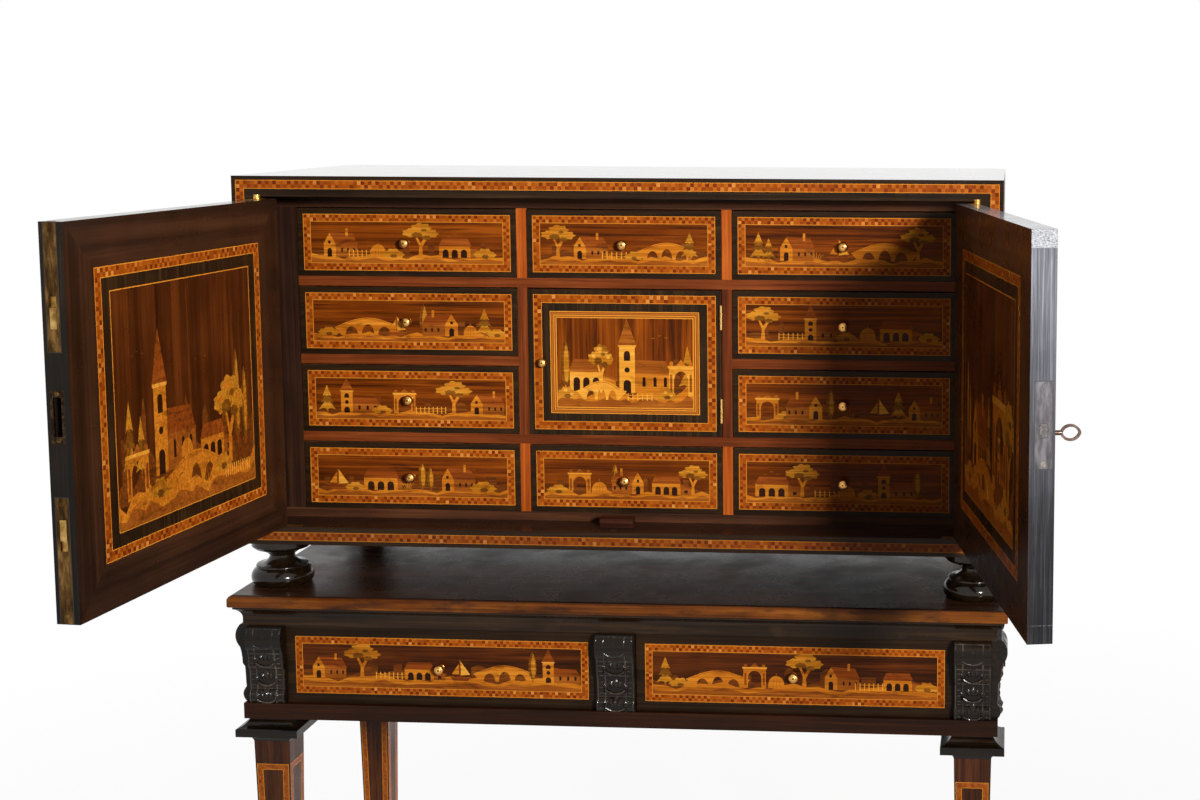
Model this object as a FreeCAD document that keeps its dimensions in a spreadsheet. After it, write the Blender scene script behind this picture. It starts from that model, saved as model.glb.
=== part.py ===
import FreeCAD, Part
import os
import Sketcher

# Coin cabinet on its own stand, in millimetres
# The origin is on the floor at the middle of the four legs, +Z is up and the front faces -Y
# The two front doors stand open, every drawer and the small middle door are shut

Vector = FreeCAD.Vector
X_WAY, Y_WAY, Z_WAY = Vector(1, 0, 0), Vector(0, 1, 0), Vector(0, 0, 1)

doc = FreeCAD.newDocument("CoinCabinet")
sheet = doc.addObject("Spreadsheet::Sheet", "Dim")


class Size:
    """A length with the expression that ties it to the sheet."""

    def __init__(self, value, text):
        self.value = float(value)
        self.text = text

    def __neg__(self):
        return Size(-self.value, "-(%s)" % self.text)

    def __add__(self, other):
        other = as_size(other)
        return Size(self.value + other.value, "(%s + %s)" % (self.text, other.text))

    def __sub__(self, other):
        other = as_size(other)
        return Size(self.value - other.value, "(%s - %s)" % (self.text, other.text))

    def __mul__(self, share):
        return Size(self.value * share, "(%s * %r)" % (self.text, share))

    def __truediv__(self, share):
        return Size(self.value / share, "(%s / %r)" % (self.text, share))

    __rmul__ = __mul__


def as_size(value):
    return value if isinstance(value, Size) else Size(value, repr(value))


ZERO = Size(0, "0")

# Driving sizes: the case, then what is in it, its doors, the feet and the stand
DRIVING = {
    "side_thick": 35.5,
    "top_thick": 28.0,
    "bottom_thick": 25.0,
    "back_thick": 12.0,
    "case_deep": 440.0,
    "nest_set": 65.0,
    "nest_top_thick": 17.5,
    "nest_bottom_thick": 12.8,
    "lining_thick": 28.2,
    "shelf_thick": 13.5,
    "partition_thick": 14.0,
    "row_high": 96.8,
    "outer_wide": 310.8,
    "centre_wide": 273.0,
    "drawer_wall": 8.0,
    "drawer_floor": 6.0,
    "front_thick": 14.0,
    "box_drop": 7.0,
    "drawer_side_gap": 0.8,
    "drawer_top_gap": 2.0,
    "drawer_back_gap": 10.0,
    "seat_gap": 0.3,
    "knob_radius": 7.0,
    "knob_long": 16.0,
    "small_knob_radius": 6.2,
    "small_knob_long": 14.0,
    "small_knob_in": 21.0,
    "small_door_thick": 14.0,
    "small_door_gap": 1.4,
    "leaf_thin": 0.6,
    "leaf_deep": 11.0,
    "leaf_high": 34.0,
    "leaf_inset": 20.0,
    "barrel_radius": 2.4,
    "barrel_pin_radius": 1.2,
    "pin_play": 0.05,
    "door_thick": 28.5,
    "door_gap": 3.0,
    "door_edge_gap": 0.8,
    "left_open_angle": 94.5,
    "right_open_angle": 101.2,
    "plate_thick": 2.5,
    "hinge_long": 45.0,
    "hinge_wide": 12.0,
    "hinge_set": 1.5,
    "hinge_eye": 5.0,
    "hinge_pin_radius": 2.5,
    "let_in": 0.3,
    "bolt_plate_long": 145.0,
    "bolt_plate_wide": 17.0,
    "bolt_plate_set": 4.3,
    "bolt_wide": 8.0,
    "bolt_play": 0.5,
    "bolt_travel": 12.0,
    "thumb_long": 24.0,
    "thumb_from_end": 95.0,
    "strike_long": 60.0,
    "strike_hole_long": 44.0,
    "strike_hole_wide": 9.6,
    "strike_deep": 14.0,
    "lock_plate_long": 97.0,
    "lock_plate_wide": 21.5,
    "lock_case_long": 82.0,
    "lock_case_wide": 14.0,
    "lock_case_deep": 62.0,
    "lock_centre_down": 211.0,
    "lock_bolt_high": 15.0,
    "lock_bolt_wide": 9.0,
    "lock_bolt_long": 29.0,
    "lock_bolt_drop": 6.0,
    "lock_play": 0.3,
    "key_backset": 40.0,
    "key_drop": 9.7,
    "key_shank_radius": 2.9,
    "key_reach": 38.0,
    "key_bit_radius": 8.5,
    "key_bit_long": 7.0,
    "key_bit_thick": 2.4,
    "bow_high": 19.0,
    "bow_wide": 24.0,
    "bow_ring": 3.0,
    "stop_wide": 47.0,
    "stop_deep": 16.0,
    "stop_high": 13.0,
    "stop_set": 1.5,
    "foot_high": 64.2,
    "foot_radius": 43.0,
    "foot_in": 36.5,
    "foot_back": 42.0,
    "stand_high": 860.0,
    "stand_inset": 10.3,
    "case_set": 13.5,
    "case_tail": 8.0,
    "leg_wide": 50.5,
    "leg_toe_wide": 28.0,
    "board_thick": 17.0,
    "board_front_over": 24.5,
    "board_side_over": 21.5,
    "board_back_over": 12.0,
    "nose_round": 7.0,
    "nose_lip": 2.5,
    "cornice_high": 29.0,
    "cornice_out": 17.0,
    "frieze_high": 110.5,
    "middle_post_wide": 53.0,
    "panel_thick": 16.0,
    "panel_set": 2.0,
    "divider_thick": 14.0,
    "corbel_out": 21.5,
    "rail_thick": 22.0,
    "rail_out": 9.0,
    "capital_high": 35.0,
    "capital_out": 21.2,
}

for row, (name, value) in enumerate(DRIVING.items(), start=1):
    sheet.set("A%d" % row, name)
    sheet.set("B%d" % row, str(value))
    sheet.setAlias("B%d" % row, name)
doc.recompute()


class Sizes:
    """The sheet's sizes by name."""

    def __getattr__(self, name):
        return Size(float(sheet.get(name)), "Dim.%s" % name)


dim = Sizes()

DERIVED_ROW = len(DRIVING) + 2


def derive(name, size):
    """Puts a worked-out size in the sheet under a name of its own."""
    global DERIVED_ROW
    sheet.set("A%d" % DERIVED_ROW, name)
    sheet.set("B%d" % DERIVED_ROW, "=" + size.text.replace("Dim.", ""))
    sheet.setAlias("B%d" % DERIVED_ROW, name)
    DERIVED_ROW += 1
    return Size(size.value, "Dim.%s" % name)


# Shares of outlines, each of the size that its outline follows
HALF_SHARE = 0.5
CORNER_SHARE = 0.293
# Bun foot: share of the radius, share of the height, with three-point arcs as pairs
FOOT_SHARES = (
    (0.0, 0.0),
    (0.88, 0.0),
    (0.985, 0.135, 0.80, 0.375),
    (0.825, 0.41, 0.76, 0.445),
    (0.69, 0.455),
    (0.46, 0.53, 0.40, 0.60),
    (0.40, 0.64),
    (0.545, 0.715, 0.86, 0.80),
    (0.95, 0.86),
    (0.95, 1.0),
    (0.0, 1.0),
)
# Knob: share of the radius, share of the length out of the front
KNOB_SHARES = (
    (0.0, 0.0),
    (0.62, 0.0),
    (0.62, 0.10),
    (0.36, 0.26, 0.42, 0.44),
    (1.0, 0.70, 0.66, 0.94),
    (0.40, 0.99),
    (0.28, 1.0),
    (0.0, 1.0),
)
# Mouldings from the bottom up: share of the overhang, share of the height
CORNICE_SHARES = (
    (0.41, 0.0),
    (0.41, 0.33),
    (0.56, 0.66, 1.0, 0.86),
    (1.0, 1.0),
)
CAPITAL_SHARES = (
    (0.0, 0.0),
    (0.20, 0.20, 0.57, 0.30),
    (0.85, 0.31),
    (1.0, 0.457, 0.87, 0.61),
    (0.80, 0.64),
    (0.42, 0.75, 0.17, 0.93),
    (0.17, 1.0),
)
CORBEL_SHARES = (
    (0.36, 0.0),
    (0.60, 0.10, 0.36, 0.185),
    (0.39, 0.24),
    (0.40, 0.34, 0.43, 0.45),
    (0.58, 0.49),
    (0.60, 0.58, 0.72, 0.70),
    (1.0, 0.86, 0.62, 1.0),
)

# Worked-out sizes of the case
inner_high = derive(
    "inner_high",
    dim.nest_top_thick + 4 * dim.row_high + 3 * dim.shelf_thick + dim.nest_bottom_thick,
)
nest_wide = derive(
    "nest_wide", 2 * dim.outer_wide + 2 * dim.partition_thick + dim.centre_wide
)
inner_wide = derive("inner_wide", nest_wide + 2 * dim.lining_thick)
case_wide = derive("case_wide", inner_wide + 2 * dim.side_thick)
stand_wide = derive("stand_wide", case_wide - 2 * dim.stand_inset)
stand_deep = derive("stand_deep", dim.case_deep + dim.case_set - dim.case_tail)
nest_deep = derive("nest_deep", dim.case_deep - dim.nest_set - dim.back_thick)
drawer_deep = derive("drawer_deep", nest_deep - dim.drawer_back_gap)

# Levels and planes of the case
case_base = derive("case_base", dim.stand_high + dim.foot_high)
sill = derive("sill", case_base + dim.bottom_thick)
ceiling = derive("ceiling", sill + inner_high)
roof = derive("roof", ceiling + dim.top_thick)
case_front = derive("case_front", dim.case_set - stand_deep / 2)
case_back = derive("case_back", case_front + dim.case_deep)
nest_front = derive("nest_front", case_front + dim.nest_set)
nest_back = derive("nest_back", nest_front + nest_deep)
centre_edge = derive("centre_edge", dim.centre_wide / 2)
outer_near = derive("outer_near", centre_edge + dim.partition_thick)
outer_far = derive("outer_far", outer_near + dim.outer_wide)
pivot_out = derive("pivot_out", inner_wide / 2)

# The doors
door_high = derive("door_high", inner_high - 2 * dim.door_gap)
door_wide = derive("door_wide", pivot_out - 2 * dim.door_edge_gap)
door_base = derive("door_base", sill + dim.door_gap)
door_far = derive("door_far", dim.door_edge_gap + door_wide)

# Levels of the stand
board_base = derive("board_base", dim.stand_high - dim.board_thick)
frieze_top = derive("frieze_top", board_base - dim.cornice_high)
frieze_base = derive("frieze_base", frieze_top - dim.frieze_high)
rail_base = derive("rail_base", frieze_base - dim.rail_thick)
leg_top = derive("leg_top", rail_base - dim.capital_high)
leg_side = derive("leg_side", stand_wide / 2)
leg_front = derive("leg_front", -stand_deep / 2)
leg_back = derive("leg_back", stand_deep / 2)
bay_far = derive("bay_far", leg_side - dim.leg_wide)
bay_near = derive("bay_near", dim.middle_post_wide / 2)
bay_wide = derive("bay_wide", bay_far - bay_near)
doc.recompute()

nodes = {}
cuts = []


def name_of(label):
    return "".join(word.capitalize() for word in label.split("_"))


def place(obj, x, y, z, axis=Z_WAY, angle=None):
    """Puts an object at a point, turned about an axis if an angle is given."""
    turn = angle.value if angle is not None else 0
    base = Vector(as_size(x).value, as_size(y).value, as_size(z).value)
    obj.Placement = FreeCAD.Placement(base, FreeCAD.Rotation(axis, turn))
    for letter, size in zip("xyz", (x, y, z)):
        obj.setExpression("Placement.Base.%s" % letter, as_size(size).text)
    if angle is not None:
        obj.setExpression("Placement.Rotation.Angle", angle.text)


def node(label, obj):
    """Gives a finished sub-part its own label."""
    obj.Label = label
    nodes[label] = obj
    return obj


def scaled(shares, out, up, out_base=ZERO, up_base=ZERO):
    """An outline path from a table of shares."""
    path = []
    for entry in shares:
        path.append(
            tuple(
                (out_base + out * share) if place_in % 2 == 0 else (up_base + up * share)
                for place_in, share in enumerate(entry)
            )
        )
    return path


def backwards(path):
    """The same path from its other end."""
    turned = [path[-1][-2:]]
    for before, entry in zip(reversed(path[:-1]), reversed(path[1:])):
        turned.append(entry[:-2] + before[-2:])
    return turned


def rectangle(low_x, high_x, low_y, high_y):
    return [(low_x, low_y), (high_x, low_y), (high_x, high_y), (low_x, high_y)]


def sketch(body, outline, across="Z", level=ZERO):
    """A closed sketch whose every corner is tied to the sheet."""
    role = {"X": "YZ_Plane", "Y": "XZ_Plane", "Z": "XY_Plane"}[across]
    plane = [f for f in body.Origin.OriginFeatures if f.Role == role][0]
    drawn = body.newObject("Sketcher::SketchObject", body.Name + "Sketch")
    drawn.AttachmentSupport = [(plane, "")]
    drawn.MapMode = "FlatFace"
    lift = -level if across == "Y" else level
    drawn.AttachmentOffset = FreeCAD.Placement(
        Vector(0, 0, lift.value), FreeCAD.Rotation()
    )
    drawn.setExpression("AttachmentOffset.Base.z", lift.text)

    def tie(kind, geometry, point, size):
        size = as_size(size)
        index = drawn.addConstraint(
            Sketcher.Constraint(kind, -1, 1, geometry, point, size.value)
        )
        if size.text != "0":
            drawn.setExpression("Constraints[%d]" % index, size.text)

    def flat(entry):
        return Vector(as_size(entry[-2]).value, as_size(entry[-1]).value, 0)

    if outline[0] == "circle":
        _, centre_x, centre_y, radius = outline
        centre = Vector(as_size(centre_x).value, as_size(centre_y).value, 0)
        ring = drawn.addGeometry(Part.Circle(centre, Z_WAY, radius.value), False)
        tie("DistanceX", ring, 3, centre_x)
        tie("DistanceY", ring, 3, centre_y)
        index = drawn.addConstraint(Sketcher.Constraint("Radius", ring, radius.value))
        drawn.setExpression("Constraints[%d]" % index, radius.text)
        return drawn

    ends = []
    closed = list(outline) + [outline[0]]
    for before, entry in zip(closed[:-1], closed[1:]):
        start, end = flat(before), flat(entry)
        if len(entry) == 4:
            middle = Vector(as_size(entry[0]).value, as_size(entry[1]).value, 0)
            edge = drawn.addGeometry(Part.Arc(start, middle, end), False)
            first = drawn.getPoint(edge, 1).distanceToPoint(start)
            second = drawn.getPoint(edge, 2).distanceToPoint(start)
            ends.append((edge, 1, 2) if first < second else (edge, 2, 1))
            mark = drawn.addGeometry(Part.Point(middle), True)
            drawn.addConstraint(Sketcher.Constraint("PointOnObject", mark, 1, edge))
            tie("DistanceX", mark, 1, entry[0])
            tie("DistanceY", mark, 1, entry[1])
        else:
            edge = drawn.addGeometry(Part.LineSegment(start, end), False)
            ends.append((edge, 1, 2))
    for number, (edge, first, _) in enumerate(ends):
        last_edge, _, last = ends[number - 1]
        drawn.addConstraint(Sketcher.Constraint("Coincident", last_edge, last, edge, first))
        tie("DistanceX", edge, first, outline[number][-2])
        tie("DistanceY", edge, first, outline[number][-1])
    return drawn


def new_body(label):
    return doc.addObject("PartDesign::Body", name_of(label))


def pad(body, outline, across, low, high):
    """Adds the outline from low to high along one axis of the body."""
    feature = body.newObject("PartDesign::Pad", body.Name + "Pad")
    feature.Profile = sketch(body, outline, across, low)
    feature.setExpression("Length", (high - low).text)
    feature.Reversed = across == "Y"
    return feature


def cut(body, outline, across, low, high):
    """Takes the outline out of the body from low to high along one axis."""
    level = low if across == "Y" else high
    drawn = sketch(body, outline, across, level)
    before = body.Tip
    feature = body.newObject("PartDesign::Pocket", body.Name + "Pocket")
    feature.Profile = drawn
    feature.setExpression("Length", (high - low).text)
    cuts.append((before, feature))
    return feature


def turned(body, outline):
    """Turns an outline of radius and height about the body's own Z axis."""
    feature = body.newObject("PartDesign::Revolution", body.Name + "Turning")
    drawn = sketch(body, outline, "Y")
    feature.Profile = drawn
    feature.ReferenceAxis = (drawn, ["V_Axis"])
    feature.Angle = 360
    return feature


def board(label, low_x, high_x, low_y, high_y, low_z, high_z):
    """A plain sawn board between six planes."""
    box = doc.addObject("Part::Box", name_of(label))
    for side, size in zip(
        ("Length", "Width", "Height"), (high_x - low_x, high_y - low_y, high_z - low_z)
    ):
        box.setExpression(side, size.text)
    place(box, low_x, low_y, low_z)
    return box


def mirrored(source, normal, through=(ZERO, ZERO, ZERO)):
    """The mirror image of a piece in a plane."""
    image = doc.addObject("Part::Mirroring", source.Name + "Image")
    image.Source = source
    image.Normal = normal
    image.Base = Vector(*[size.value for size in through])
    for letter, size in zip("xyz", through):
        image.setExpression("Base.%s" % letter, size.text)
    return image


def group(label, pieces):
    """Several separate solids in one sub-part."""
    held = doc.addObject("Part::Compound", name_of(label))
    held.Links = pieces
    return held


def combined(kind, label, base, tool):
    joined = doc.addObject("Part::" + kind, name_of(label))
    joined.Base = base
    joined.Tool = tool
    return joined


def moulded(label, steps, half_wide, front, back, back_moulded):
    """A slab with one edge profile on its front and sides, and on its back where asked."""
    foot = steps[0][-1]
    head = steps[-1][-1]
    right = [
        tuple(half_wide + s if n % 2 == 0 else s for n, s in enumerate(entry))
        for entry in steps
    ]
    left = [
        tuple(-(half_wide + s) if n % 2 == 0 else s for n, s in enumerate(entry))
        for entry in steps
    ]
    ahead = [
        tuple(front - s if n % 2 == 0 else s for n, s in enumerate(entry))
        for entry in steps
    ]
    behind = [(back, foot), (back, head)]
    if back_moulded:
        behind = [
            tuple(back + s if n % 2 == 0 else s for n, s in enumerate(entry))
            for entry in steps
        ]
    reach = max((entry[-2] for entry in steps), key=lambda size: size.value)
    along = new_body(label + "_front_form")
    pad(along, behind + backwards(ahead), "X", -(half_wide + reach), half_wide + reach)
    across = new_body(label + "_side_form")
    pad(across, right + backwards(left), "Y", front - reach, back + reach)
    return combined("Common", label, along, across)


# Hinge eye, leaf and let-in shared by the case and the doors, seen from above with the
# pivot at the corner where the door's outer face meets its hinge edge
def hinge_plate(label, way, low, high, bore, boss_high):
    """One leaf of a pin hinge, with a bored boss that fills most of the gap."""
    body = new_body(label)
    pad(
        body,
        rectangle(
            min_of(ZERO, way * dim.hinge_long),
            max_of(ZERO, way * dim.hinge_long),
            dim.hinge_set,
            dim.hinge_set + dim.hinge_wide,
        ),
        "Z",
        low,
        high,
    )
    pad(body, ("circle", ZERO, ZERO, dim.hinge_eye), "Z", low, high + boss_high)
    if bore is not None:
        cut(body, ("circle", ZERO, ZERO, bore), "Z", low, high + boss_high)
    return body


def min_of(one, two):
    return one if one.value <= two.value else two


def max_of(one, two):
    return one if one.value > two.value else two


def cut_hinge_seat(body, centre_x, front_y, way, low, high):
    """The recess for a leaf in the door's edge or in the case."""
    play = dim.let_in
    cut(
        body,
        rectangle(
            min_of(centre_x, centre_x + way * (dim.hinge_long + play)),
            max_of(centre_x, centre_x + way * (dim.hinge_long + play)),
            front_y + dim.hinge_set - play,
            front_y + dim.hinge_set + dim.hinge_wide + play,
        ),
        "Z",
        low,
        high,
    )
    cut(body, ("circle", centre_x, front_y, dim.hinge_eye + play), "Z", low, high)


# Keepers in the case for the two flush bolts of the left door
bolt_face = dim.plate_thick + dim.let_in
bolt_mid_in = bolt_face + dim.bolt_wide / 2
bolt_mid_back = dim.bolt_plate_set + dim.bolt_plate_wide / 2
keeper_x = -(dim.door_edge_gap + bolt_mid_in)
keeper_y = case_front + bolt_mid_back
keeper_half = dim.bolt_wide / 2 + dim.bolt_play

# Case boards: the top and bottom run over the ends of the sides
for label, low, high, seat_low, seat_high in (
    ("case_top", ceiling, roof, ceiling, ceiling + dim.plate_thick),
    ("case_bottom", case_base, sill, sill - dim.plate_thick, sill),
):
    body = new_body(label)
    outline = rectangle(-case_wide / 2, case_wide / 2, case_front, case_back)
    pad(body, outline, "Z", low, high)
    for way, x in ((1, -pivot_out), (-1, pivot_out)):
        cut_hinge_seat(body, x, case_front, way, seat_low, seat_high)
    hole = rectangle(
        keeper_x - keeper_half,
        keeper_x + keeper_half,
        keeper_y - keeper_half,
        keeper_y + keeper_half,
    )
    if label == "case_top":
        cut(body, hole, "Z", ceiling, ceiling + dim.bolt_travel)
    else:
        cut(body, hole, "Z", sill - dim.bolt_travel, sill)
    node(label, body)

side_board = new_body("case_side_board")
side_outline = rectangle(-case_wide / 2, -pivot_out, case_front, case_back)
pad(side_board, side_outline, "Z", sill, ceiling)
eye_notch = ("circle", -pivot_out, case_front, dim.hinge_eye + dim.let_in)
notch_deep = dim.door_gap + dim.plate_thick + dim.let_in
cut(side_board, eye_notch, "Z", ceiling - notch_deep, ceiling)
cut(side_board, eye_notch, "Z", sill, sill + notch_deep)
node("case_sides", group("case_sides", [side_board, mirrored(side_board, X_WAY)]))
node(
    "case_back",
    board("case_back", -pivot_out, pivot_out, nest_back, case_back, sill, ceiling),
)

# Four turned bun feet under the case
foot = new_body("bun_foot")
turned(foot, scaled(FOOT_SHARES, dim.foot_radius, dim.foot_high))
place(foot, -(case_wide / 2 - dim.foot_in), case_front + dim.foot_back, dim.stand_high)
case_middle = (ZERO, case_front + dim.case_deep / 2, ZERO)
feet_front = group("feet_front", [foot, mirrored(foot, X_WAY)])
feet_back = mirrored(feet_front, Y_WAY, case_middle)
node("bun_feet", group("bun_feet", [feet_front, feet_back]))

# The nest of openings behind the doors
first_top = derive("first_top", ceiling - dim.nest_top_thick)
row_step = derive("row_step", dim.row_high + dim.shelf_thick)
ROWS = range(4)
row_tops = [first_top - row * row_step for row in ROWS]
row_bases = [top - dim.row_high for top in row_tops]
nest_side = nest_wide / 2

node(
    "nest_boards",
    group(
        "nest_boards",
        [
            board(
                "nest_board_%d" % number,
                -pivot_out,
                pivot_out,
                nest_front,
                nest_back,
                low,
                high,
            )
            for number, (low, high) in enumerate(
                ((first_top, ceiling), (sill, sill + dim.nest_bottom_thick)), start=1
            )
        ],
    ),
)
lining = board(
    "lining",
    -pivot_out,
    -nest_side,
    nest_front,
    nest_back,
    sill + dim.nest_bottom_thick,
    first_top,
)
node("nest_linings", group("nest_linings", [lining, mirrored(lining, X_WAY)]))

shelves = []
for row in ROWS[::2]:
    shelves.append(
        board(
            "long_shelf_%d" % (row + 1),
            -nest_side,
            nest_side,
            nest_front,
            nest_back,
            row_bases[row] - dim.shelf_thick,
            row_bases[row],
        )
    )
short_shelf = board(
    "short_shelf",
    -outer_far,
    -outer_near,
    nest_front,
    nest_back,
    row_bases[1] - dim.shelf_thick,
    row_bases[1],
)
shelves += [short_shelf, mirrored(short_shelf, X_WAY)]
node("nest_shelves", group("nest_shelves", shelves))

partitions = []
for number, (low, high) in enumerate(
    (
        (row_bases[0], row_tops[0]),
        (row_bases[2], row_tops[1]),
        (row_bases[3], row_tops[3]),
    ),
    start=1,
):
    partition = board(
        "partition_%d" % number,
        -outer_near,
        -centre_edge,
        nest_front,
        nest_back,
        low,
        high,
    )
    partitions += [partition, mirrored(partition, X_WAY)]
node("nest_partitions", group("nest_partitions", partitions))

# Stop block on the sill, behind where the doors meet
stop_front = case_front + dim.door_thick + dim.stop_set
stop_back = stop_front + dim.stop_deep
stop_top = sill + dim.stop_high
stop_profile = [
    (stop_front, sill),
    (stop_back, sill),
    (stop_back, stop_top),
    (stop_front + dim.stop_deep * HALF_SHARE, stop_top),
    (
        stop_front + dim.stop_deep * HALF_SHARE * CORNER_SHARE,
        stop_top - dim.stop_high * HALF_SHARE * CORNER_SHARE,
        stop_front,
        stop_top - dim.stop_high * HALF_SHARE,
    ),
]
stop = new_body("door_stop")
stop_left = keeper_x - dim.stop_wide / 2
pad(stop, stop_profile, "X", stop_left, stop_left + dim.stop_wide)
node("door_stop", stop)

# Fixed leaves with their pins, let into the case above and below each door
pin_low = -dim.door_gap - dim.plate_thick + dim.let_in
fixed = hinge_plate("fixed_leaf", 1, ZERO, dim.plate_thick, None, ZERO)
pad(fixed, ("circle", ZERO, ZERO, dim.hinge_pin_radius), "Z", pin_low, ZERO)
place(fixed, -pivot_out, case_front, ceiling)
fixed_pair = group(
    "fixed_leaves_left",
    [fixed, mirrored(fixed, Z_WAY, (ZERO, ZERO, sill + inner_high / 2))],
)
node("pivot_plates", group("pivot_plates", [fixed_pair, mirrored(fixed_pair, X_WAY)]))


# The doors are drawn shut in frames of their own, each with its origin at the foot of its
# pivot, X along the door from the pivot, Y into the cabinet, and then swung open
def cut_door_hinges(body, way):
    seat_floor = door_high - dim.plate_thick
    cut_hinge_seat(body, ZERO, ZERO, way, seat_floor, door_high)
    cut_hinge_seat(body, ZERO, ZERO, way, ZERO, dim.plate_thick)


def span(way, near, far):
    """Low and high X of a stretch of the door from near to far off its pivot."""
    return (way * near, way * far) if way > 0 else (way * far, way * near)


def door_blank(label, way):
    body = new_body(label)
    low, high = span(way, dim.door_edge_gap, door_far)
    pad(body, rectangle(low, high, ZERO, dim.door_thick), "Z", ZERO, door_high)
    cut_door_hinges(body, way)
    return body


# Left door: two flush bolts and a strike in its closing edge
left_door = door_blank("door_left", 1)
plate_low = dim.bolt_plate_set
plate_high = dim.bolt_plate_set + dim.bolt_plate_wide
channel = dim.bolt_wide / 2 + dim.bolt_play
channel_deep = bolt_face + dim.bolt_wide + dim.bolt_play
thumb_far = dim.thumb_from_end + dim.thumb_long
slot_near = dim.thumb_from_end - dim.bolt_travel - dim.bolt_play
slot_far = thumb_far + dim.bolt_play
channel_long = thumb_far + dim.bolt_play
for top in (True, False):

    def rise(far, near):
        """Levels of a stretch measured from the door's end at the top or the bottom."""
        return (door_high - far, door_high - near) if top else (near, far)

    cut(
        left_door,
        rectangle(door_far - dim.plate_thick, door_far, plate_low, plate_high),
        "Z",
        *rise(dim.bolt_plate_long, ZERO),
    )
    cut(
        left_door,
        rectangle(
            door_far - channel_deep,
            door_far,
            bolt_mid_back - channel,
            bolt_mid_back + channel,
        ),
        "Z",
        *rise(channel_long, ZERO),
    )

strike_mid = door_high - dim.lock_centre_down - dim.lock_bolt_drop
strike_low = strike_mid - dim.strike_long / 2
strike_high = strike_mid + dim.strike_long / 2
cut(
    left_door,
    rectangle(door_far - dim.plate_thick, door_far, plate_low, plate_high),
    "Z",
    strike_low,
    strike_high,
)
strike_hole_low = bolt_mid_back - dim.strike_hole_wide / 2
strike_hole_high = bolt_mid_back + dim.strike_hole_wide / 2
strike_hole = rectangle(
    door_far - dim.strike_deep, door_far, strike_hole_low, strike_hole_high
)
cut(
    left_door,
    strike_hole,
    "Z",
    strike_mid - dim.strike_hole_long / 2,
    strike_mid + dim.strike_hole_long / 2,
)

LEFT_PLACE = (-pivot_out, case_front, door_base, Z_WAY, -dim.left_open_angle)
RIGHT_PLACE = (pivot_out, case_front, door_base, Z_WAY, dim.right_open_angle)
place(left_door, *LEFT_PLACE)
node("door_left", left_door)

strike = new_body("strike_plate")
pad(
    strike,
    rectangle(door_far - dim.plate_thick, door_far, plate_low, plate_high),
    "Z",
    strike_low,
    strike_high,
)
cut(
    strike,
    strike_hole,
    "Z",
    strike_mid - dim.strike_hole_long / 2,
    strike_mid + dim.strike_hole_long / 2,
)
place(strike, *LEFT_PLACE)
node("strike_plate", strike)

# Slotted plates over the flush bolts, and the bolts with their thumb pieces
bolt_plate = new_body("bolt_plate")
pad(
    bolt_plate,
    rectangle(door_far - dim.plate_thick, door_far, plate_low, plate_high),
    "Z",
    door_high - dim.bolt_plate_long,
    door_high,
)
cut(
    bolt_plate,
    rectangle(
        door_far - dim.plate_thick,
        door_far,
        bolt_mid_back - channel,
        bolt_mid_back + channel,
    ),
    "Z",
    door_high - slot_far,
    door_high - slot_near,
)
door_middle = (ZERO, ZERO, door_high / 2)
bolt_plates = group("bolt_plates", [bolt_plate, mirrored(bolt_plate, Z_WAY, door_middle)])
place(bolt_plates, *LEFT_PLACE)
node("bolt_plates", bolt_plates)

for label in ("flush_bolt_top", "flush_bolt_bottom"):
    rod = new_body(label + "_rod")
    rod_back = door_far - bolt_face - dim.bolt_wide
    pad(
        rod,
        rectangle(
            rod_back,
            door_far - bolt_face,
            bolt_mid_back - dim.bolt_wide / 2,
            bolt_mid_back + dim.bolt_wide / 2,
        ),
        "Z",
        door_high - thumb_far,
        door_high - dim.let_in,
    )
    pad(
        rod,
        rectangle(
            rod_back,
            door_far - dim.let_in,
            bolt_mid_back - dim.bolt_wide / 2,
            bolt_mid_back + dim.bolt_wide / 2,
        ),
        "Z",
        door_high - thumb_far,
        door_high - dim.thumb_from_end,
    )
    shown = rod if label == "flush_bolt_top" else mirrored(rod, Z_WAY, door_middle)
    bolt = group(label, [shown])
    place(bolt, *LEFT_PLACE)
    node(label, bolt)

# Right door: a mortise lock with its bolt and key
lock_mid = door_high - dim.lock_centre_down
bolt_level = lock_mid - dim.lock_bolt_drop
lock_back = bolt_mid_back - dim.lock_case_wide / 2
lock_ahead = bolt_mid_back + dim.lock_case_wide / 2
lock_plate_back = bolt_mid_back - dim.lock_plate_wide / 2
lock_plate_ahead = bolt_mid_back + dim.lock_plate_wide / 2
right_door = door_blank("door_right", -1)
plate_span = span(-1, door_far - dim.plate_thick, door_far)
case_span = span(-1, door_far - dim.lock_case_deep - dim.let_in, door_far)
cut(
    right_door,
    rectangle(*plate_span, lock_plate_back, lock_plate_ahead),
    "Z",
    lock_mid - dim.lock_plate_long / 2,
    lock_mid + dim.lock_plate_long / 2,
)
cut(
    right_door,
    rectangle(*case_span, lock_back, lock_ahead),
    "Z",
    lock_mid - dim.lock_case_long / 2,
    lock_mid + dim.lock_case_long / 2,
)
key_x = -(door_far - dim.key_backset)
key_level = bolt_level - dim.key_drop
shank_hole = dim.key_shank_radius + dim.lock_play
slot_half = dim.key_bit_thick / 2 + dim.lock_play
slot_low = key_level - dim.key_bit_radius - dim.lock_play
keyhole = ("circle", key_x, key_level, shank_hole)
key_slot = rectangle(key_x - slot_half, key_x + slot_half, slot_low, key_level)
for outline in (keyhole, key_slot):
    cut(right_door, outline, "Y", ZERO, lock_back)
place(right_door, *RIGHT_PLACE)
node("door_right", right_door)

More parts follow.
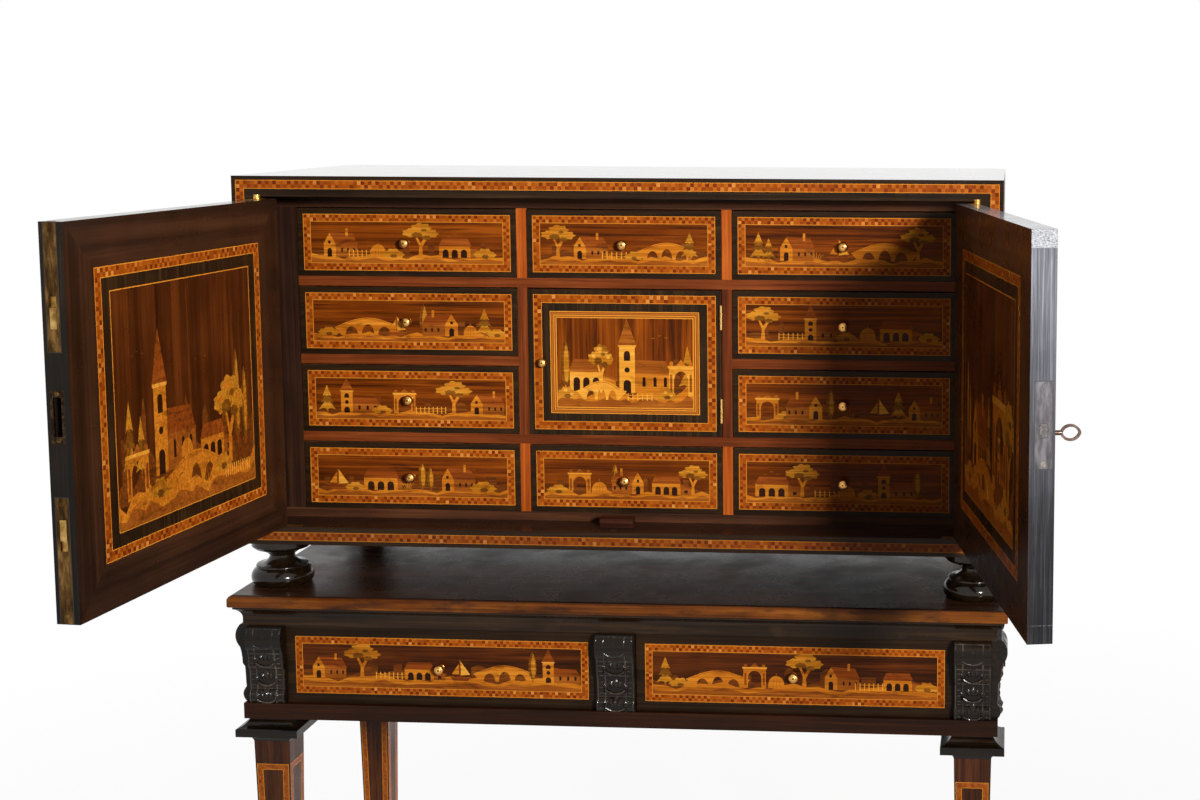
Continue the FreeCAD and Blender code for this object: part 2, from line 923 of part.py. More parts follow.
lock = new_body("lock")
pad(
    lock,
    rectangle(*plate_span, lock_plate_back, lock_plate_ahead),
    "Z",
    lock_mid - dim.lock_plate_long / 2,
    lock_mid + dim.lock_plate_long / 2,
)
pad(
    lock,
    rectangle(*span(-1, door_far - dim.lock_case_deep, door_far), lock_back, lock_ahead),
    "Z",
    lock_mid - dim.lock_case_long / 2,
    lock_mid + dim.lock_case_long / 2,
)
bolt_hole_near = door_far - dim.lock_bolt_long - dim.let_in - dim.lock_play
cut(
    lock,
    rectangle(
        *span(-1, bolt_hole_near, door_far),
        bolt_mid_back - dim.lock_bolt_wide / 2 - dim.lock_play,
        bolt_mid_back + dim.lock_bolt_wide / 2 + dim.lock_play,
    ),
    "Z",
    bolt_level - dim.lock_bolt_high / 2 - dim.lock_play,
    bolt_level + dim.lock_bolt_high / 2 + dim.lock_play,
)
bit_room = dim.key_bit_radius + dim.lock_play
chamber_front = bolt_mid_back - dim.key_bit_long / 2 - dim.lock_play
chamber_back = bolt_mid_back + dim.key_bit_long / 2 + dim.lock_play
cut(lock, ("circle", key_x, key_level, bit_room), "Y", chamber_front, chamber_back)
for outline in (keyhole, key_slot):
    cut(lock, outline, "Y", lock_back, chamber_front)
place(lock, *RIGHT_PLACE)
node("lock", lock)

lock_bolt = new_body("lock_bolt")
pad(
    lock_bolt,
    rectangle(
        *span(-1, door_far - dim.lock_bolt_long - dim.let_in, door_far - dim.let_in),
        bolt_mid_back - dim.lock_bolt_wide / 2,
        bolt_mid_back + dim.lock_bolt_wide / 2,
    ),
    "Z",
    bolt_level - dim.lock_bolt_high / 2,
    bolt_level + dim.lock_bolt_high / 2,
)
place(lock_bolt, *RIGHT_PLACE)
node("lock_bolt", lock_bolt)

# Key: shank and bit in the lock, oval bow outside the door
key = new_body("key")
bow_middle = -dim.key_reach + dim.bow_wide / 2
bow_shank_end = -dim.key_reach + dim.bow_wide - dim.bow_ring / 2
pad(
    key,
    ("circle", key_x, key_level, dim.key_shank_radius),
    "Y",
    bow_shank_end,
    chamber_back - dim.lock_play,
)
pad(
    key,
    rectangle(
        key_x - dim.key_bit_thick / 2,
        key_x + dim.key_bit_thick / 2,
        key_level - dim.key_bit_radius,
        key_level,
    ),
    "Y",
    chamber_front + dim.lock_play,
    chamber_back - dim.lock_play,
)
half_ring = dim.bow_ring / 2


def oval(half_wide, half_high):
    """Two arcs about the middle of the bow."""
    return [
        (bow_middle, key_level + half_high, bow_middle - half_wide, key_level),
        (bow_middle, key_level - half_high, bow_middle + half_wide, key_level),
    ]


bow = oval(dim.bow_wide / 2, dim.bow_high / 2)
eye = oval(dim.bow_wide / 2 - dim.bow_ring, dim.bow_high / 2 - dim.bow_ring)
pad(key, bow, "X", key_x - half_ring, key_x + half_ring)
cut(key, eye, "X", key_x - half_ring, key_x + half_ring)
place(key, *RIGHT_PLACE)
node("key", key)

# Moving leaves of the pin hinges, let into the ends of each door's hinge edge
moving = hinge_plate(
    "moving_leaf",
    1,
    door_high - dim.plate_thick,
    door_high,
    dim.hinge_pin_radius + dim.pin_play,
    dim.door_gap - dim.let_in,
)
moving_pair = group("moving_pair", [moving, mirrored(moving, Z_WAY, door_middle)])
left_leaves = group("hinge_leaves_left", [moving_pair])
place(left_leaves, *LEFT_PLACE)
node("hinge_leaves_left", left_leaves)
right_leaves = group("hinge_leaves_right", [mirrored(moving_pair, X_WAY)])
place(right_leaves, *RIGHT_PLACE)
node("hinge_leaves_right", right_leaves)

# Small door in the middle, hung on two butt hinges at its right edge
small_low = row_bases[2] + dim.seat_gap
small_high = row_tops[1] - dim.drawer_top_gap
small_left = -centre_edge + dim.drawer_side_gap
small_right = centre_edge - dim.small_door_gap
small_door = board(
    "small_door",
    small_left,
    small_right,
    nest_front,
    nest_front + dim.small_door_thick,
    small_low,
    small_high,
)
node("small_door", small_door)

barrel_x = centre_edge - dim.small_door_gap / 2
barrel_y = nest_front - dim.barrel_radius - dim.seat_gap
third = dim.leaf_high / 3
leaf_play = dim.let_in
middle_low = third + leaf_play
middle_high = 2 * third - leaf_play
leaf_slack = dim.small_door_gap / 2 - dim.leaf_thin
fixed_leaves = []
moving_leaves = []
for number, level in enumerate(
    (small_low + dim.leaf_inset, small_high - dim.leaf_inset - dim.leaf_high), start=1
):
    fixed_leaf = new_body("fixed_butt_%d" % number)
    fixed_outline = rectangle(leaf_slack, leaf_slack + dim.leaf_thin, ZERO, dim.leaf_deep)
    pad(fixed_leaf, fixed_outline, "Z", ZERO, dim.leaf_high)
    barrel = ("circle", ZERO, ZERO, dim.barrel_radius)
    pad(fixed_leaf, barrel, "Z", ZERO, dim.leaf_high)
    room = [
        (-dim.leaf_deep, -dim.barrel_radius - leaf_play),
        (dim.leaf_deep, -dim.barrel_radius - leaf_play),
        (dim.leaf_deep, dim.barrel_radius + leaf_play),
        (-dim.leaf_deep, dim.barrel_radius + leaf_play),
    ]
    cut(fixed_leaf, room, "Z", third, 2 * third)
    barrel_pin = ("circle", ZERO, ZERO, dim.barrel_pin_radius)
    pad(fixed_leaf, barrel_pin, "Z", third, 2 * third)
    place(fixed_leaf, barrel_x, barrel_y, level)
    fixed_leaves.append(fixed_leaf)

    moving_leaf = new_body("moving_butt_%d" % number)
    pad(moving_leaf, barrel, "Z", middle_low, middle_high)
    moving_neck = rectangle(
        -leaf_slack - dim.leaf_thin, -leaf_slack, ZERO, dim.leaf_deep
    )
    pad(moving_leaf, moving_neck, "Z", middle_low, middle_high)
    moving_flap = rectangle(
        -leaf_slack - dim.leaf_thin,
        -leaf_slack,
        dim.barrel_radius + leaf_play,
        dim.leaf_deep,
    )
    pad(moving_leaf, moving_flap, "Z", ZERO, dim.leaf_high)
    bore = ("circle", ZERO, ZERO, dim.barrel_pin_radius + dim.pin_play)
    cut(moving_leaf, bore, "Z", middle_low, middle_high)
    place(moving_leaf, barrel_x, barrel_y, level)
    moving_leaves.append(moving_leaf)
node("small_hinge_fixed", group("small_hinge_fixed", fixed_leaves))
node("small_hinge_moving", group("small_hinge_moving", moving_leaves))


def knob(label, x, y, z, radius, long):
    """A turned knob that stands out of a front, towards -Y."""
    body = new_body(label)
    turned(body, scaled(KNOB_SHARES, radius, long))
    base = Vector(as_size(x).value, y.value, z.value)
    body.Placement = FreeCAD.Placement(base, FreeCAD.Rotation(X_WAY, 90))
    for letter, size in zip("xyz", (as_size(x), y, z)):
        body.setExpression("Placement.Base.%s" % letter, size.text)
    return node(label, body)


knob(
    "small_door_knob",
    small_left + dim.small_knob_in,
    nest_front,
    small_low + (small_high - small_low) / 2,
    dim.small_knob_radius,
    dim.small_knob_long,
)


def drawer(label, middle_x, front_y, base_z, wide, high, deep):
    """An open box with a full-height front, and its knob."""
    body = new_body(label)
    half = wide / 2
    box_high = high - dim.box_drop
    pad(body, rectangle(-half, half, ZERO, deep), "Z", ZERO, box_high)
    pad(body, rectangle(-half, half, ZERO, dim.front_thick), "Z", ZERO, high)
    hollow = rectangle(
        -half + dim.drawer_wall,
        half - dim.drawer_wall,
        dim.front_thick,
        deep - dim.drawer_wall,
    )
    cut(body, hollow, "Z", dim.drawer_floor, high)
    place(body, middle_x, front_y, base_z)
    node(label, body)
    knob(
        label.replace("drawer", "knob"),
        middle_x,
        front_y,
        base_z + high / 2,
        dim.knob_radius,
        dim.knob_long,
    )


# Ten drawers in the case: four in each outer column, one above and one below the small door
outer_mid = outer_near + dim.outer_wide / 2
drawer_high = dim.row_high - dim.drawer_top_gap - dim.seat_gap
for column, middle_x, opening, rows in (
    ("left", -outer_mid, dim.outer_wide, ROWS),
    ("right", outer_mid, dim.outer_wide, ROWS),
    ("centre", ZERO, dim.centre_wide, ROWS[::3]),
):
    for row in rows:
        drawer(
            "drawer_%s_%d" % (column, row + 1),
            middle_x,
            nest_front,
            row_bases[row] + dim.seat_gap,
            opening - 2 * dim.drawer_side_gap,
            drawer_high,
            drawer_deep,
        )

# Stand: top board with a rounded nose, and a hollow-moulded cornice under it
nose_steps = [
    (-dim.nose_lip, board_base),
    (
        -dim.nose_lip * CORNER_SHARE,
        board_base + dim.nose_lip * CORNER_SHARE,
        ZERO,
        board_base + dim.nose_lip,
    ),
    (ZERO, dim.stand_high - dim.nose_round),
    (
        -dim.nose_round * CORNER_SHARE,
        dim.stand_high - dim.nose_round * CORNER_SHARE,
        -dim.nose_round,
        dim.stand_high,
    ),
]
board_steps = [
    tuple(
        dim.board_side_over + s if n % 2 == 0 else s for n, s in enumerate(entry)
    )
    for entry in nose_steps
]
front_extra = dim.board_front_over - dim.board_side_over
node(
    "stand_top",
    moulded(
        "stand_top",
        board_steps,
        leg_side,
        leg_front - front_extra,
        leg_back + dim.board_back_over,
        False,
    ),
)
cornice_steps = scaled(
    CORNICE_SHARES, dim.cornice_out, dim.cornice_high, up_base=frieze_top
)
node("cornice", moulded("cornice", cornice_steps, leg_side, leg_front, leg_back, False))

# Posts of the frieze, its side and back panels and the divider between its drawers
corner_post = board(
    "corner_post",
    -leg_side,
    -bay_far,
    leg_front,
    leg_front + dim.leg_wide,
    frieze_base,
    frieze_top,
)
post_pair = group("post_pair", [corner_post, mirrored(corner_post, X_WAY)])
middle_post = board(
    "middle_post",
    -bay_near,
    bay_near,
    leg_front,
    leg_front + dim.leg_wide,
    frieze_base,
    frieze_top,
)
node(
    "frieze_posts",
    group("frieze_posts", [post_pair, mirrored(post_pair, Y_WAY), middle_post]),
)
side_panel = board(
    "side_panel",
    -leg_side + dim.panel_set,
    -leg_side + dim.panel_set + dim.panel_thick,
    leg_front + dim.leg_wide,
    leg_back - dim.leg_wide,
    frieze_base,
    frieze_top,
)
back_panel = board(
    "back_panel",
    -bay_far,
    bay_far,
    leg_back - dim.panel_set - dim.panel_thick,
    leg_back - dim.panel_set,
    frieze_base,
    frieze_top,
)
node(
    "frieze_panels",
    group("frieze_panels", [side_panel, mirrored(side_panel, X_WAY), back_panel]),
)
node(
    "frieze_divider",
    board(
        "frieze_divider",
        -dim.divider_thick / 2,
        dim.divider_thick / 2,
        leg_front + dim.leg_wide,
        leg_back - dim.panel_set - dim.panel_thick,
        frieze_base,
        frieze_top,
    ),
)

# Two drawers in the frieze, flush with the legs
frieze_drawer_high = dim.frieze_high - dim.drawer_top_gap - dim.seat_gap
frieze_drawer_deep = (
    stand_deep - dim.panel_set - dim.panel_thick - dim.drawer_back_gap
)
for side, middle_x in (
    ("left", -(bay_near + bay_wide / 2)),
    ("right", bay_near + bay_wide / 2),
):
    drawer(
        "stand_drawer_%s" % side,
        middle_x,
        leg_front,
        frieze_base + dim.seat_gap,
        bay_wide - 2 * dim.drawer_side_gap,
        frieze_drawer_high,
        frieze_drawer_deep,
    )

# Carved scroll corbels: three on the front, and one on each side of the four corners
corbel_steps = scaled(CORBEL_SHARES, dim.corbel_out, dim.frieze_high)
corbel_outline = [(ZERO, ZERO)] + corbel_steps + [(ZERO, dim.frieze_high)]
front_corbels = []
for label, low, wide in (
    ("corbel_front_left", -leg_side, dim.leg_wide),
    ("corbel_front_middle", -bay_near, dim.middle_post_wide),
    ("corbel_front_right", bay_far, dim.leg_wide),
):
    corbel = new_body(label)
    facing = [
        tuple(-s if n % 2 == 0 else s for n, s in enumerate(entry))
        for entry in corbel_outline
    ]
    pad(corbel, facing, "X", ZERO, wide)
    place(corbel, low, leg_front, frieze_base)
    front_corbels.append(corbel)
node("corbels_front", group("corbels_front", front_corbels))

side_corbel = new_body("corbel_side")
outward = [
    tuple(-s if n % 2 == 0 else s for n, s in enumerate(entry))
    for entry in corbel_outline
]
pad(side_corbel, outward, "Y", ZERO, dim.leg_wide)
place(side_corbel, -leg_side, leg_front, frieze_base)
side_pair = group("side_pair", [side_corbel, mirrored(side_corbel, X_WAY)])
node("corbels_side", group("corbels_side", [side_pair, mirrored(side_pair, Y_WAY)]))

# Bottom rail under the frieze, then capitals and square tapered legs
node(
    "stand_rail",
    board(
        "stand_rail",
        -leg_side - dim.rail_out,
        leg_side + dim.rail_out,
        leg_front - dim.rail_out,
        leg_back,
        rail_base,
        frieze_base,
    ),
)
capital = moulded(
    "capital",
    scaled(CAPITAL_SHARES, dim.capital_out, dim.capital_high),
    dim.leg_wide / 2,
    -dim.leg_wide / 2,
    dim.leg_wide / 2,
    True,
)
leg_mid_x = leg_side - dim.leg_wide / 2
leg_mid_y = leg_front + dim.leg_wide / 2
capital_set = group("capital_set", [capital])
place(capital_set, -leg_mid_x, leg_mid_y, leg_top)
capital_pair = group("capital_pair", [capital_set, mirrored(capital_set, X_WAY)])
node("capitals", group("capitals", [capital_pair, mirrored(capital_pair, Y_WAY)]))

leg = new_body("leg")
toe = dim.leg_toe_wide / 2
knee = dim.leg_wide / 2
leg_loft = leg.newObject("PartDesign::AdditiveLoft", "LegLoft")
leg_loft.Profile = sketch(leg, rectangle(-toe, toe, -toe, toe), "Z", ZERO)
leg_loft.Sections = [sketch(leg, rectangle(-knee, knee, -knee, knee), "Z", leg_top)]
leg_loft.Ruled = True
place(leg, -leg_mid_x, leg_mid_y, ZERO)
leg_pair = group("leg_pair", [leg, mirrored(leg, X_WAY)])
node("legs", group("legs", [leg_pair, mirrored(leg_pair, Y_WAY)]))

doc.recompute()

# Nothing is written unless every piece is sound
for obj in doc.Objects:
    if "Invalid" in obj.State or "Error" in obj.State:
        raise RuntimeError("%s is %s" % (obj.Name, obj.State))
for before, feature in cuts:
    if feature.Shape.Volume >= before.Shape.Volume:
        raise RuntimeError("%s cuts nothing" % feature.Name)
for label, obj in nodes.items():
    shape = obj.Shape
    if shape.isNull() or not shape.isValid() or not shape.Solids:
        raise RuntimeError("%s has no sound shape" % label)

os.makedirs("parts", exist_ok=True)
for label, obj in nodes.items():
    obj.Shape.exportStep("parts/%s.step" % label)
print(len(nodes), "nodes,", sum(len(obj.Shape.Solids) for obj in nodes.values()), "solids")
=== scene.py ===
import functools
import math
import random

import bpy
from mathutils import Matrix, Vector


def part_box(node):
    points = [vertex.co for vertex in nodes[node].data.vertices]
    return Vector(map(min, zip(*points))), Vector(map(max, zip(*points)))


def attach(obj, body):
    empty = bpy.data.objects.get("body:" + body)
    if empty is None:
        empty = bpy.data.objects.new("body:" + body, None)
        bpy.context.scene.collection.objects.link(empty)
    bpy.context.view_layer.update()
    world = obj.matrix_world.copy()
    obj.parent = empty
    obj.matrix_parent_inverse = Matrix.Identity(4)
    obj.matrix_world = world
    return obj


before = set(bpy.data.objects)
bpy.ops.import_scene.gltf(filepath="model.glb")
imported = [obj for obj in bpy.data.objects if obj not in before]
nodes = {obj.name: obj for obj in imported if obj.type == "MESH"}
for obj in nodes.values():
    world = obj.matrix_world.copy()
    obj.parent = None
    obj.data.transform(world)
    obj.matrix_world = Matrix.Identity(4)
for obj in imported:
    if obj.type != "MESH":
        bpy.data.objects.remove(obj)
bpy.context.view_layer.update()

# Coin cabinet on its stand: the frame's solids keep their shapes and get their finishes
# here, and the marquetry pictures, the corbels' carving and the screws are laid on them
bpy.ops.object.select_all(action="DESELECT")


def shade(*reading):
    """A colour as the eye reads it off the object, 0 to 255, in linear light."""
    return tuple(
        c / 255 / 12.92 if c <= 10 else ((c / 255 + 0.055) / 1.055) ** 2.4 for c in reading
    ) + (1.0,)


def shades(readings):
    """Several colours, with commas between them."""
    return [shade(*map(int, reading.split())) for reading in readings.split(",")]


# Woods, each in its dark, middle and light tone
EBONY = shades("22 13 6, 40 25 12, 62 42 21")
JET = shades("10 6 2, 22 14 6, 40 26 12")
# a paler black for the carving's beads: a painted highlight for the light that they catch
BEAD_HIGHLIGHT = shades("24 18 12, 48 39 31, 92 80 68")
ROSEWOOD = shades("58 23 2, 112 49 5, 158 77 14")
DARK_ROSEWOOD = shades("38 15 3, 73 32 8, 110 53 16")
DOOR_WOOD = shades("30 17 9, 50 29 17, 72 43 26")
RED_WOOD = shades("74 31 9, 112 51 19, 144 72 32")
SATINWOOD = shades("134 56 12, 176 82 24, 208 108 40")
BOARD_WOOD = shades("24 14 8, 46 27 17, 72 43 27")
NOSE_WOOD = shades("72 35 8, 114 59 16, 150 86 28")
RAIL_WOOD = shades("24 10 3, 40 18 6, 60 29 10")
FRIEZE_WOOD = shades("22 13 7, 36 23 12, 54 36 20")
INSIDE_WOOD = shades("92 56 30, 126 82 48, 156 108 68")
BURL = shades("124 54 7, 154 77 19, 184 102 34")
BAND_DARK, BAND_MID, BAND_LIGHT, BAND_PALE = shades(
    "112 41 4, 149 66 9, 187 97 24, 218 138 60"
)
STRINGING = shade(222, 138, 42)
GOLD_LINE = shade(232, 154, 52)

# Measures in millimetres: how near a face counts as on it, half the width of a fine
# joint, a door's reach from its pivot, and the plates' middle from its outer face
SKIN = 0.2
SEAM = 0.35
DOOR_NEAR, DOOR_FAR, DOOR_THICK = 0.8, 488.7, 28.5
PLATE_MIDDLE = 12.8


def summing(operation):
    """A sum of two readings, or of a reading and a number."""
    return lambda one, other: one.work.sum(operation, one, other)


class Reading:
    """A value read at every point of a finish, so that its sums are written as sums."""

    def __init__(self, work, socket):
        self.work, self.socket = work, socket

    def __rsub__(self, other):
        return self.work.sum("SUBTRACT", other, self)

    def __abs__(self):
        return self.work.sum("ABSOLUTE", self)

    __add__, __sub__, __mul__, __truediv__, __lt__, __gt__ = map(
        summing, ("ADD", "SUBTRACT", "MULTIPLY", "DIVIDE", "LESS_THAN", "GREATER_THAN")
    )


least, most = summing("MINIMUM"), summing("MAXIMUM")


class Workings:
    """The sums behind a finish or the sky, made in its tree of nodes."""

    def __init__(self, tree):
        self.tree = tree

    def feed(self, socket, value):
        if isinstance(value, Reading):
            self.tree.links.new(value.socket, socket)
        else:
            socket.default_value = value

    def add(self, kind, out=0, **values):
        made = self.tree.nodes.new("ShaderNode" + kind)
        for place, value in values.items():
            self.feed(made.inputs[place.replace("_", " ")], value)
        return Reading(self, made.outputs[out])

    def filled(self, kind, values, first=0, out=0, **settings):
        """A node with these settings whose sockets are filled in their order."""
        made = self.tree.nodes.new("ShaderNode" + kind)
        for name, value in settings.items():
            setattr(made, name, value)
        for socket, value in zip(made.inputs[first:], values):
            self.feed(socket, value)
        return Reading(self, made.outputs[out])

    def sum(self, operation, *values):
        return self.filled("Math", values, operation=operation)

    def seen(self):
        """1 where the camera, a mirror or glass looks, 0 where light falls."""
        path = self.tree.nodes.new("ShaderNodeLightPath")
        rays = ("Is Camera Ray", "Is Glossy Ray", "Is Transmission Ray")
        return functools.reduce(most, [Reading(self, path.outputs[ray]) for ray in rays])


class Recipe(Workings):
    """One finish in the making: its nodes and the shader that they feed."""

    def __init__(self, name, shine=0.5, coat=0.0, polish=0.03, centre=(0, 0, 0), turn=0.0,
                 scale=1000.0, **gloss):
        self.finish = bpy.data.materials.new(name)
        self.finish.use_nodes = True
        super().__init__(self.finish.node_tree)
        self.shader = self.tree.nodes["Principled BSDF"]
        sheen = {"Specular IOR Level": shine, "Coat Weight": coat, "Coat Roughness": polish}
        for socket, value in {**sheen, **gloss}.items():
            self.gloss(socket, value)
        # Object coordinates about the centre, turned about the upright, in millimetres
        spin = Matrix.Rotation(-turn, 3, "Z")
        self.place = self.add(
            "Mapping", Vector=self.add("TexCoord", out=3), Scale=(scale,) * 3,
            Rotation=(0, 0, -turn), Location=-(spin @ Vector(centre)) * scale,
        )

    def gloss(self, socket, value):
        self.feed(self.shader.inputs[socket], value)

    def apart(self):
        """The three coordinates of the place."""
        made = self.filled("SeparateXYZ", [self.place]).socket.node
        return [Reading(self, socket) for socket in made.outputs]

    def noise(self, scale, detail=3.0, rough=0.55, swirl=0.0, place=None):
        """Clouds in one scale, or in one for each way."""
        place = place or self.place
        if isinstance(scale, tuple):
            place, scale = self.add("Mapping", Vector=place, Scale=scale), 1.0
        return self.add(
            "TexNoise", Vector=place, Scale=scale, Detail=detail, Roughness=rough,
            Distortion=swirl,
        )

    def ramp(self, value, colours, levels=(0.35, 0.5, 0.66)):
        made = self.filled("ValToRGB", [value])
        elements = made.socket.node.color_ramp.elements
        for end in (0, -1):
            elements[end].position, elements[end].color = levels[end], colours[end]
        for level, colour in list(zip(levels, colours))[1:-1]:
            elements.new(level).color = colour
        return made

    def over(self, value, low, high, new_low=0.0, new_high=1.0):
        """The value eased from one range to another."""
        return self.filled(
            "MapRange", (value, low, high, new_low, new_high), interpolation_type="SMOOTHSTEP"
        )

    def laid(self, base, *layers):
        """The base under other colours, each laid by its own share."""
        for share, colour in layers:
            # a mix of colours has its share first and its two colours seventh and eighth
            base = self.filled("Mix", (base, colour), 6, 2, data_type="RGBA")
            self.feed(base.socket.node.inputs[0], share)
        return base

    def banded(self, depth, base, *bands):
        """The base under bands of colour, each between two depths from the edge."""
        return self.laid(
            base, *(((depth > low) * (depth < high), colour) for low, high, colour in bands)
        )

    def timber(self, colours, along="X", stripe=0.085, seed=0.0, veins=0.0):
        """Streaked wood with its grain along one way: colour, pores and figure."""
        stretch = [1.0, 1.0, 1.0]
        stretch["XYZ".index(along)] = 0.02
        base = self.add("Mapping", Vector=self.place, Scale=stretch, Location=(seed,) * 3)
        wave = self.noise((0.012, 0.012, 0.012), 2.0)
        streaks = self.noise(stripe, 5.0, 0.62, 0.9, base)
        pores = self.noise(0.9, 3.0, 0.7, 0.0, base)
        figure = streaks * 0.75 + (wave * 0.2 + pores * 0.14)
        colour = self.ramp(figure, colours, (0.40, 0.54, 0.68))
        if veins:
            shifted = self.add("Mapping", Vector=base, Location=(7.3, 2.1, 5.7))
            vein = self.noise(stripe * 2.6, 4.0, 0.6, 1.2, shifted)
            dark = tuple(c * 0.45 for c in colours[0][:3]) + (1.0,)
            colour = self.laid(colour, (self.over(vein, 0.55, 0.68, 0.0, veins), dark))
        return colour, pores, figure

    def ebonised(self, along="Z", tones=EBONY):
        """Black stained wood with a brown grain that shows through and rubbed places."""
        colour, pores, _ = self.timber(tones, along, 0.16)
        rubbed = self.over(self.noise(0.03, 4.0, 0.6), 0.55, 0.75, 0.0, 0.5)
        return self.laid(colour, (rubbed, tones[2])), pores

    def banding(self, field, start, line, width, seed):
        """Two rows of small squares, light and dark in turn, between stringing lines."""
        u, v, half_u, half_v = field
        inner, outer = start + line, start + width
        cell = (width - 2 * line) / 2
        counts, spots = [], []
        for way, half, shift in ((u, half_u, 37.0), (v, half_v, 91.0)):
            count = self.sum("FLOOR", (half - inner - abs(way)) / cell)
            counts.append(count)
            spots.append(count + self.sum("SIGN", way) * (shift + seed))
        turn = self.sum("PINGPONG", counts[0] + counts[1], 1.0)
        chance = self.add("TexWhiteNoise", Vector=self.filled("CombineXYZ", (*spots, seed)))
        chequer = self.ramp(
            turn * 0.4 + chance * 0.6,
            [BAND_DARK, BAND_MID, BAND_LIGHT, BAND_LIGHT, BAND_PALE],
            (0.05, 0.4, 0.8, 0.93, 0.995),
        )
        return [
            (start, inner, STRINGING), (inner, outer - line, chequer),
            (outer - line, outer, STRINGING),
        ]

    def bumped(self, height, strength, depth=0.0003):
        self.gloss(
            "Normal", self.add("Bump", Strength=strength, Distance=depth, Height=height)
        )

    def painted(self, colour, roughness):
        self.gloss("Base Color", colour)
        self.gloss("Roughness", roughness)
        return self.finish

    def waxed(self, colour, smooth, dull, scale=0.02, detail=4.0, rough=0.55):
        """The colour under a sheen that wanders between two roughnesses."""
        worn = self.noise(scale, detail, rough)
        return self.painted(colour, self.over(worn, 0.3, 0.7, smooth, dull))


def rectangle_depth(u, v, half_u, half_v):
    """How far inside the edge of a rectangle about the middle a point lies."""
    return least(half_u - abs(u), half_v - abs(v))


def seams(depth, *edges):
    """1 along the fine joints at these depths, 0 elsewhere."""
    return functools.reduce(most, [abs(depth - edge) < SEAM for edge in edges])


def front_of(node):
    """The middle of a piece's front, and its half width and half height in millimetres."""
    low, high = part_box(node)
    middle = ((low.x + high.x) / 2, low.y, (low.z + high.z) / 2)
    return middle, (high.x - low.x) * 500, (high.z - low.z) * 500


def drawer_finish(node, name, wood, border, halves, lift, band, seed):
    """A drawer's inlaid front, with plain wood on its sides and inside."""
    recipe = Recipe(name, 0.08, centre=front_of(node)[0])
    x, y, z = recipe.apart()
    field = (x, z - lift, *halves)
    depth = rectangle_depth(*field)
    front, pores, _ = recipe.timber(wood, "X", 0.11, seed, 0.75)
    edge = recipe.timber(border, "X", 0.1, seed) if border else recipe.ebonised("X")
    front = recipe.banded(
        depth, front, (-500, 0.0, edge[0]), *recipe.banding(field, 0.0, 1.1, band, seed)
    )
    gaps = seams(depth, 0.0, band)
    plain = recipe.timber(INSIDE_WOOD, "Y", 0.1, seed + 3)[0]
    ahead = y < 0.15
    recipe.bumped(pores * 0.3 - gaps * 0.6, 0.25)
    colour = recipe.laid(plain, (ahead, front), (gaps * ahead * 0.55, shade(40, 20, 10)))
    return recipe.waxed(colour, 0.3, 0.46)


def wooden(name, colours, along="X", stripe=0.085, rough=(0.34, 0.5), bump=0.25, coat=0.0):
    recipe = Recipe(name, 0.1, coat, 0.2)
    colour, pores, figure = recipe.timber(colours, along, stripe)
    recipe.bumped(pores + figure, bump)
    return recipe.waxed(colour, *rough, 0.015)


def black(name, along="Z", rough=(0.2, 0.38), coat=0.35, bump=0.2, tones=EBONY, polish=0.1):
    recipe = Recipe(name, 0.06, coat * 0.35, polish)
    colour, pores = recipe.ebonised(along, tones)
    recipe.bumped(pores, bump)
    return recipe.waxed(colour, *rough, 0.05)


def metal(name, colours, rough=(0.25, 0.5), scale=0.25, bump=0.15):
    """Old rubbed metal: tarnish in slow clouds, fine scratches and dents."""
    recipe = Recipe(name, Metallic=1.0)
    cloud = recipe.noise(scale, 5.0, 0.6)
    mix = cloud * 0.85 + recipe.noise(1.1, 3.0, 0.7) * 0.15
    recipe.bumped(mix, bump, 0.0002)
    rub = recipe.over(cloud, 0.35, 0.65, rough[1], rough[0])
    return recipe.painted(recipe.ramp(mix, colours), rub)


def dress(finish, *pieces):
    for node in pieces:
        for slot in nodes[node].material_slots:
            slot.material = finish


# The frame's planes, in metres
case_low, case_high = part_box("case_top")
case_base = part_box("case_bottom")[0].z
case_front = case_low.y
door_foot, door_top = (corner.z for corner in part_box("door_left"))
lock_level = door_top - 0.211

# Each door's pivot, how far it stands open and the way it runs from its pivot
DOORS = {
    "left": ((-0.4895, case_front), math.radians(-94.5), 1),
    "right": ((0.4895, case_front), math.radians(101.2), -1),
}

# Finishes of the whole boards
dress(wooden("nest_edge_dark", shades("40 22 13, 72 42 26, 100 58 35")), "nest_boards")
dress(wooden("lining_dark", shades("26 14 9, 46 27 18, 68 40 26"), "Z"), "nest_linings")
dress(wooden("shelf_red", RED_WOOD, "X", 0.2), "nest_shelves")
dress(wooden("stop_dark", shades("26 11 5, 52 23 12, 80 38 22"), "X", 0.2), "door_stop")
dress(wooden("back_board", INSIDE_WOOD, "Z"), "case_back")
dress(wooden("frieze_brown", FRIEZE_WOOD), "frieze_panels")
dress(wooden("divider_plain", INSIDE_WOOD, "Y"), "frieze_divider")
dress(wooden("rail_red", RAIL_WOOD, "X", 0.12, (0.28, 0.45), 0.2, 0.024), "stand_rail")
dress(black("ebonised_upright"), "frieze_posts")
dress(black("foot_black", "X", (0.12, 0.28), 1.5, 0.12, JET, 0.12), "bun_feet")
dress(black("cornice_black", "X", (0.16, 0.34), 0.5), "cornice")
dress(black("capital_black", "X", (0.16, 0.32), 0.9, 0.2, JET), "capitals")
dress(black("corbel_black", "X", (0.16, 0.36), 0.8, 0.2, JET, 0.2), "corbels_front")
dress(black("corbel_side_black", "Y", (0.16, 0.36), 0.8, 0.2, JET, 0.2), "corbels_side")


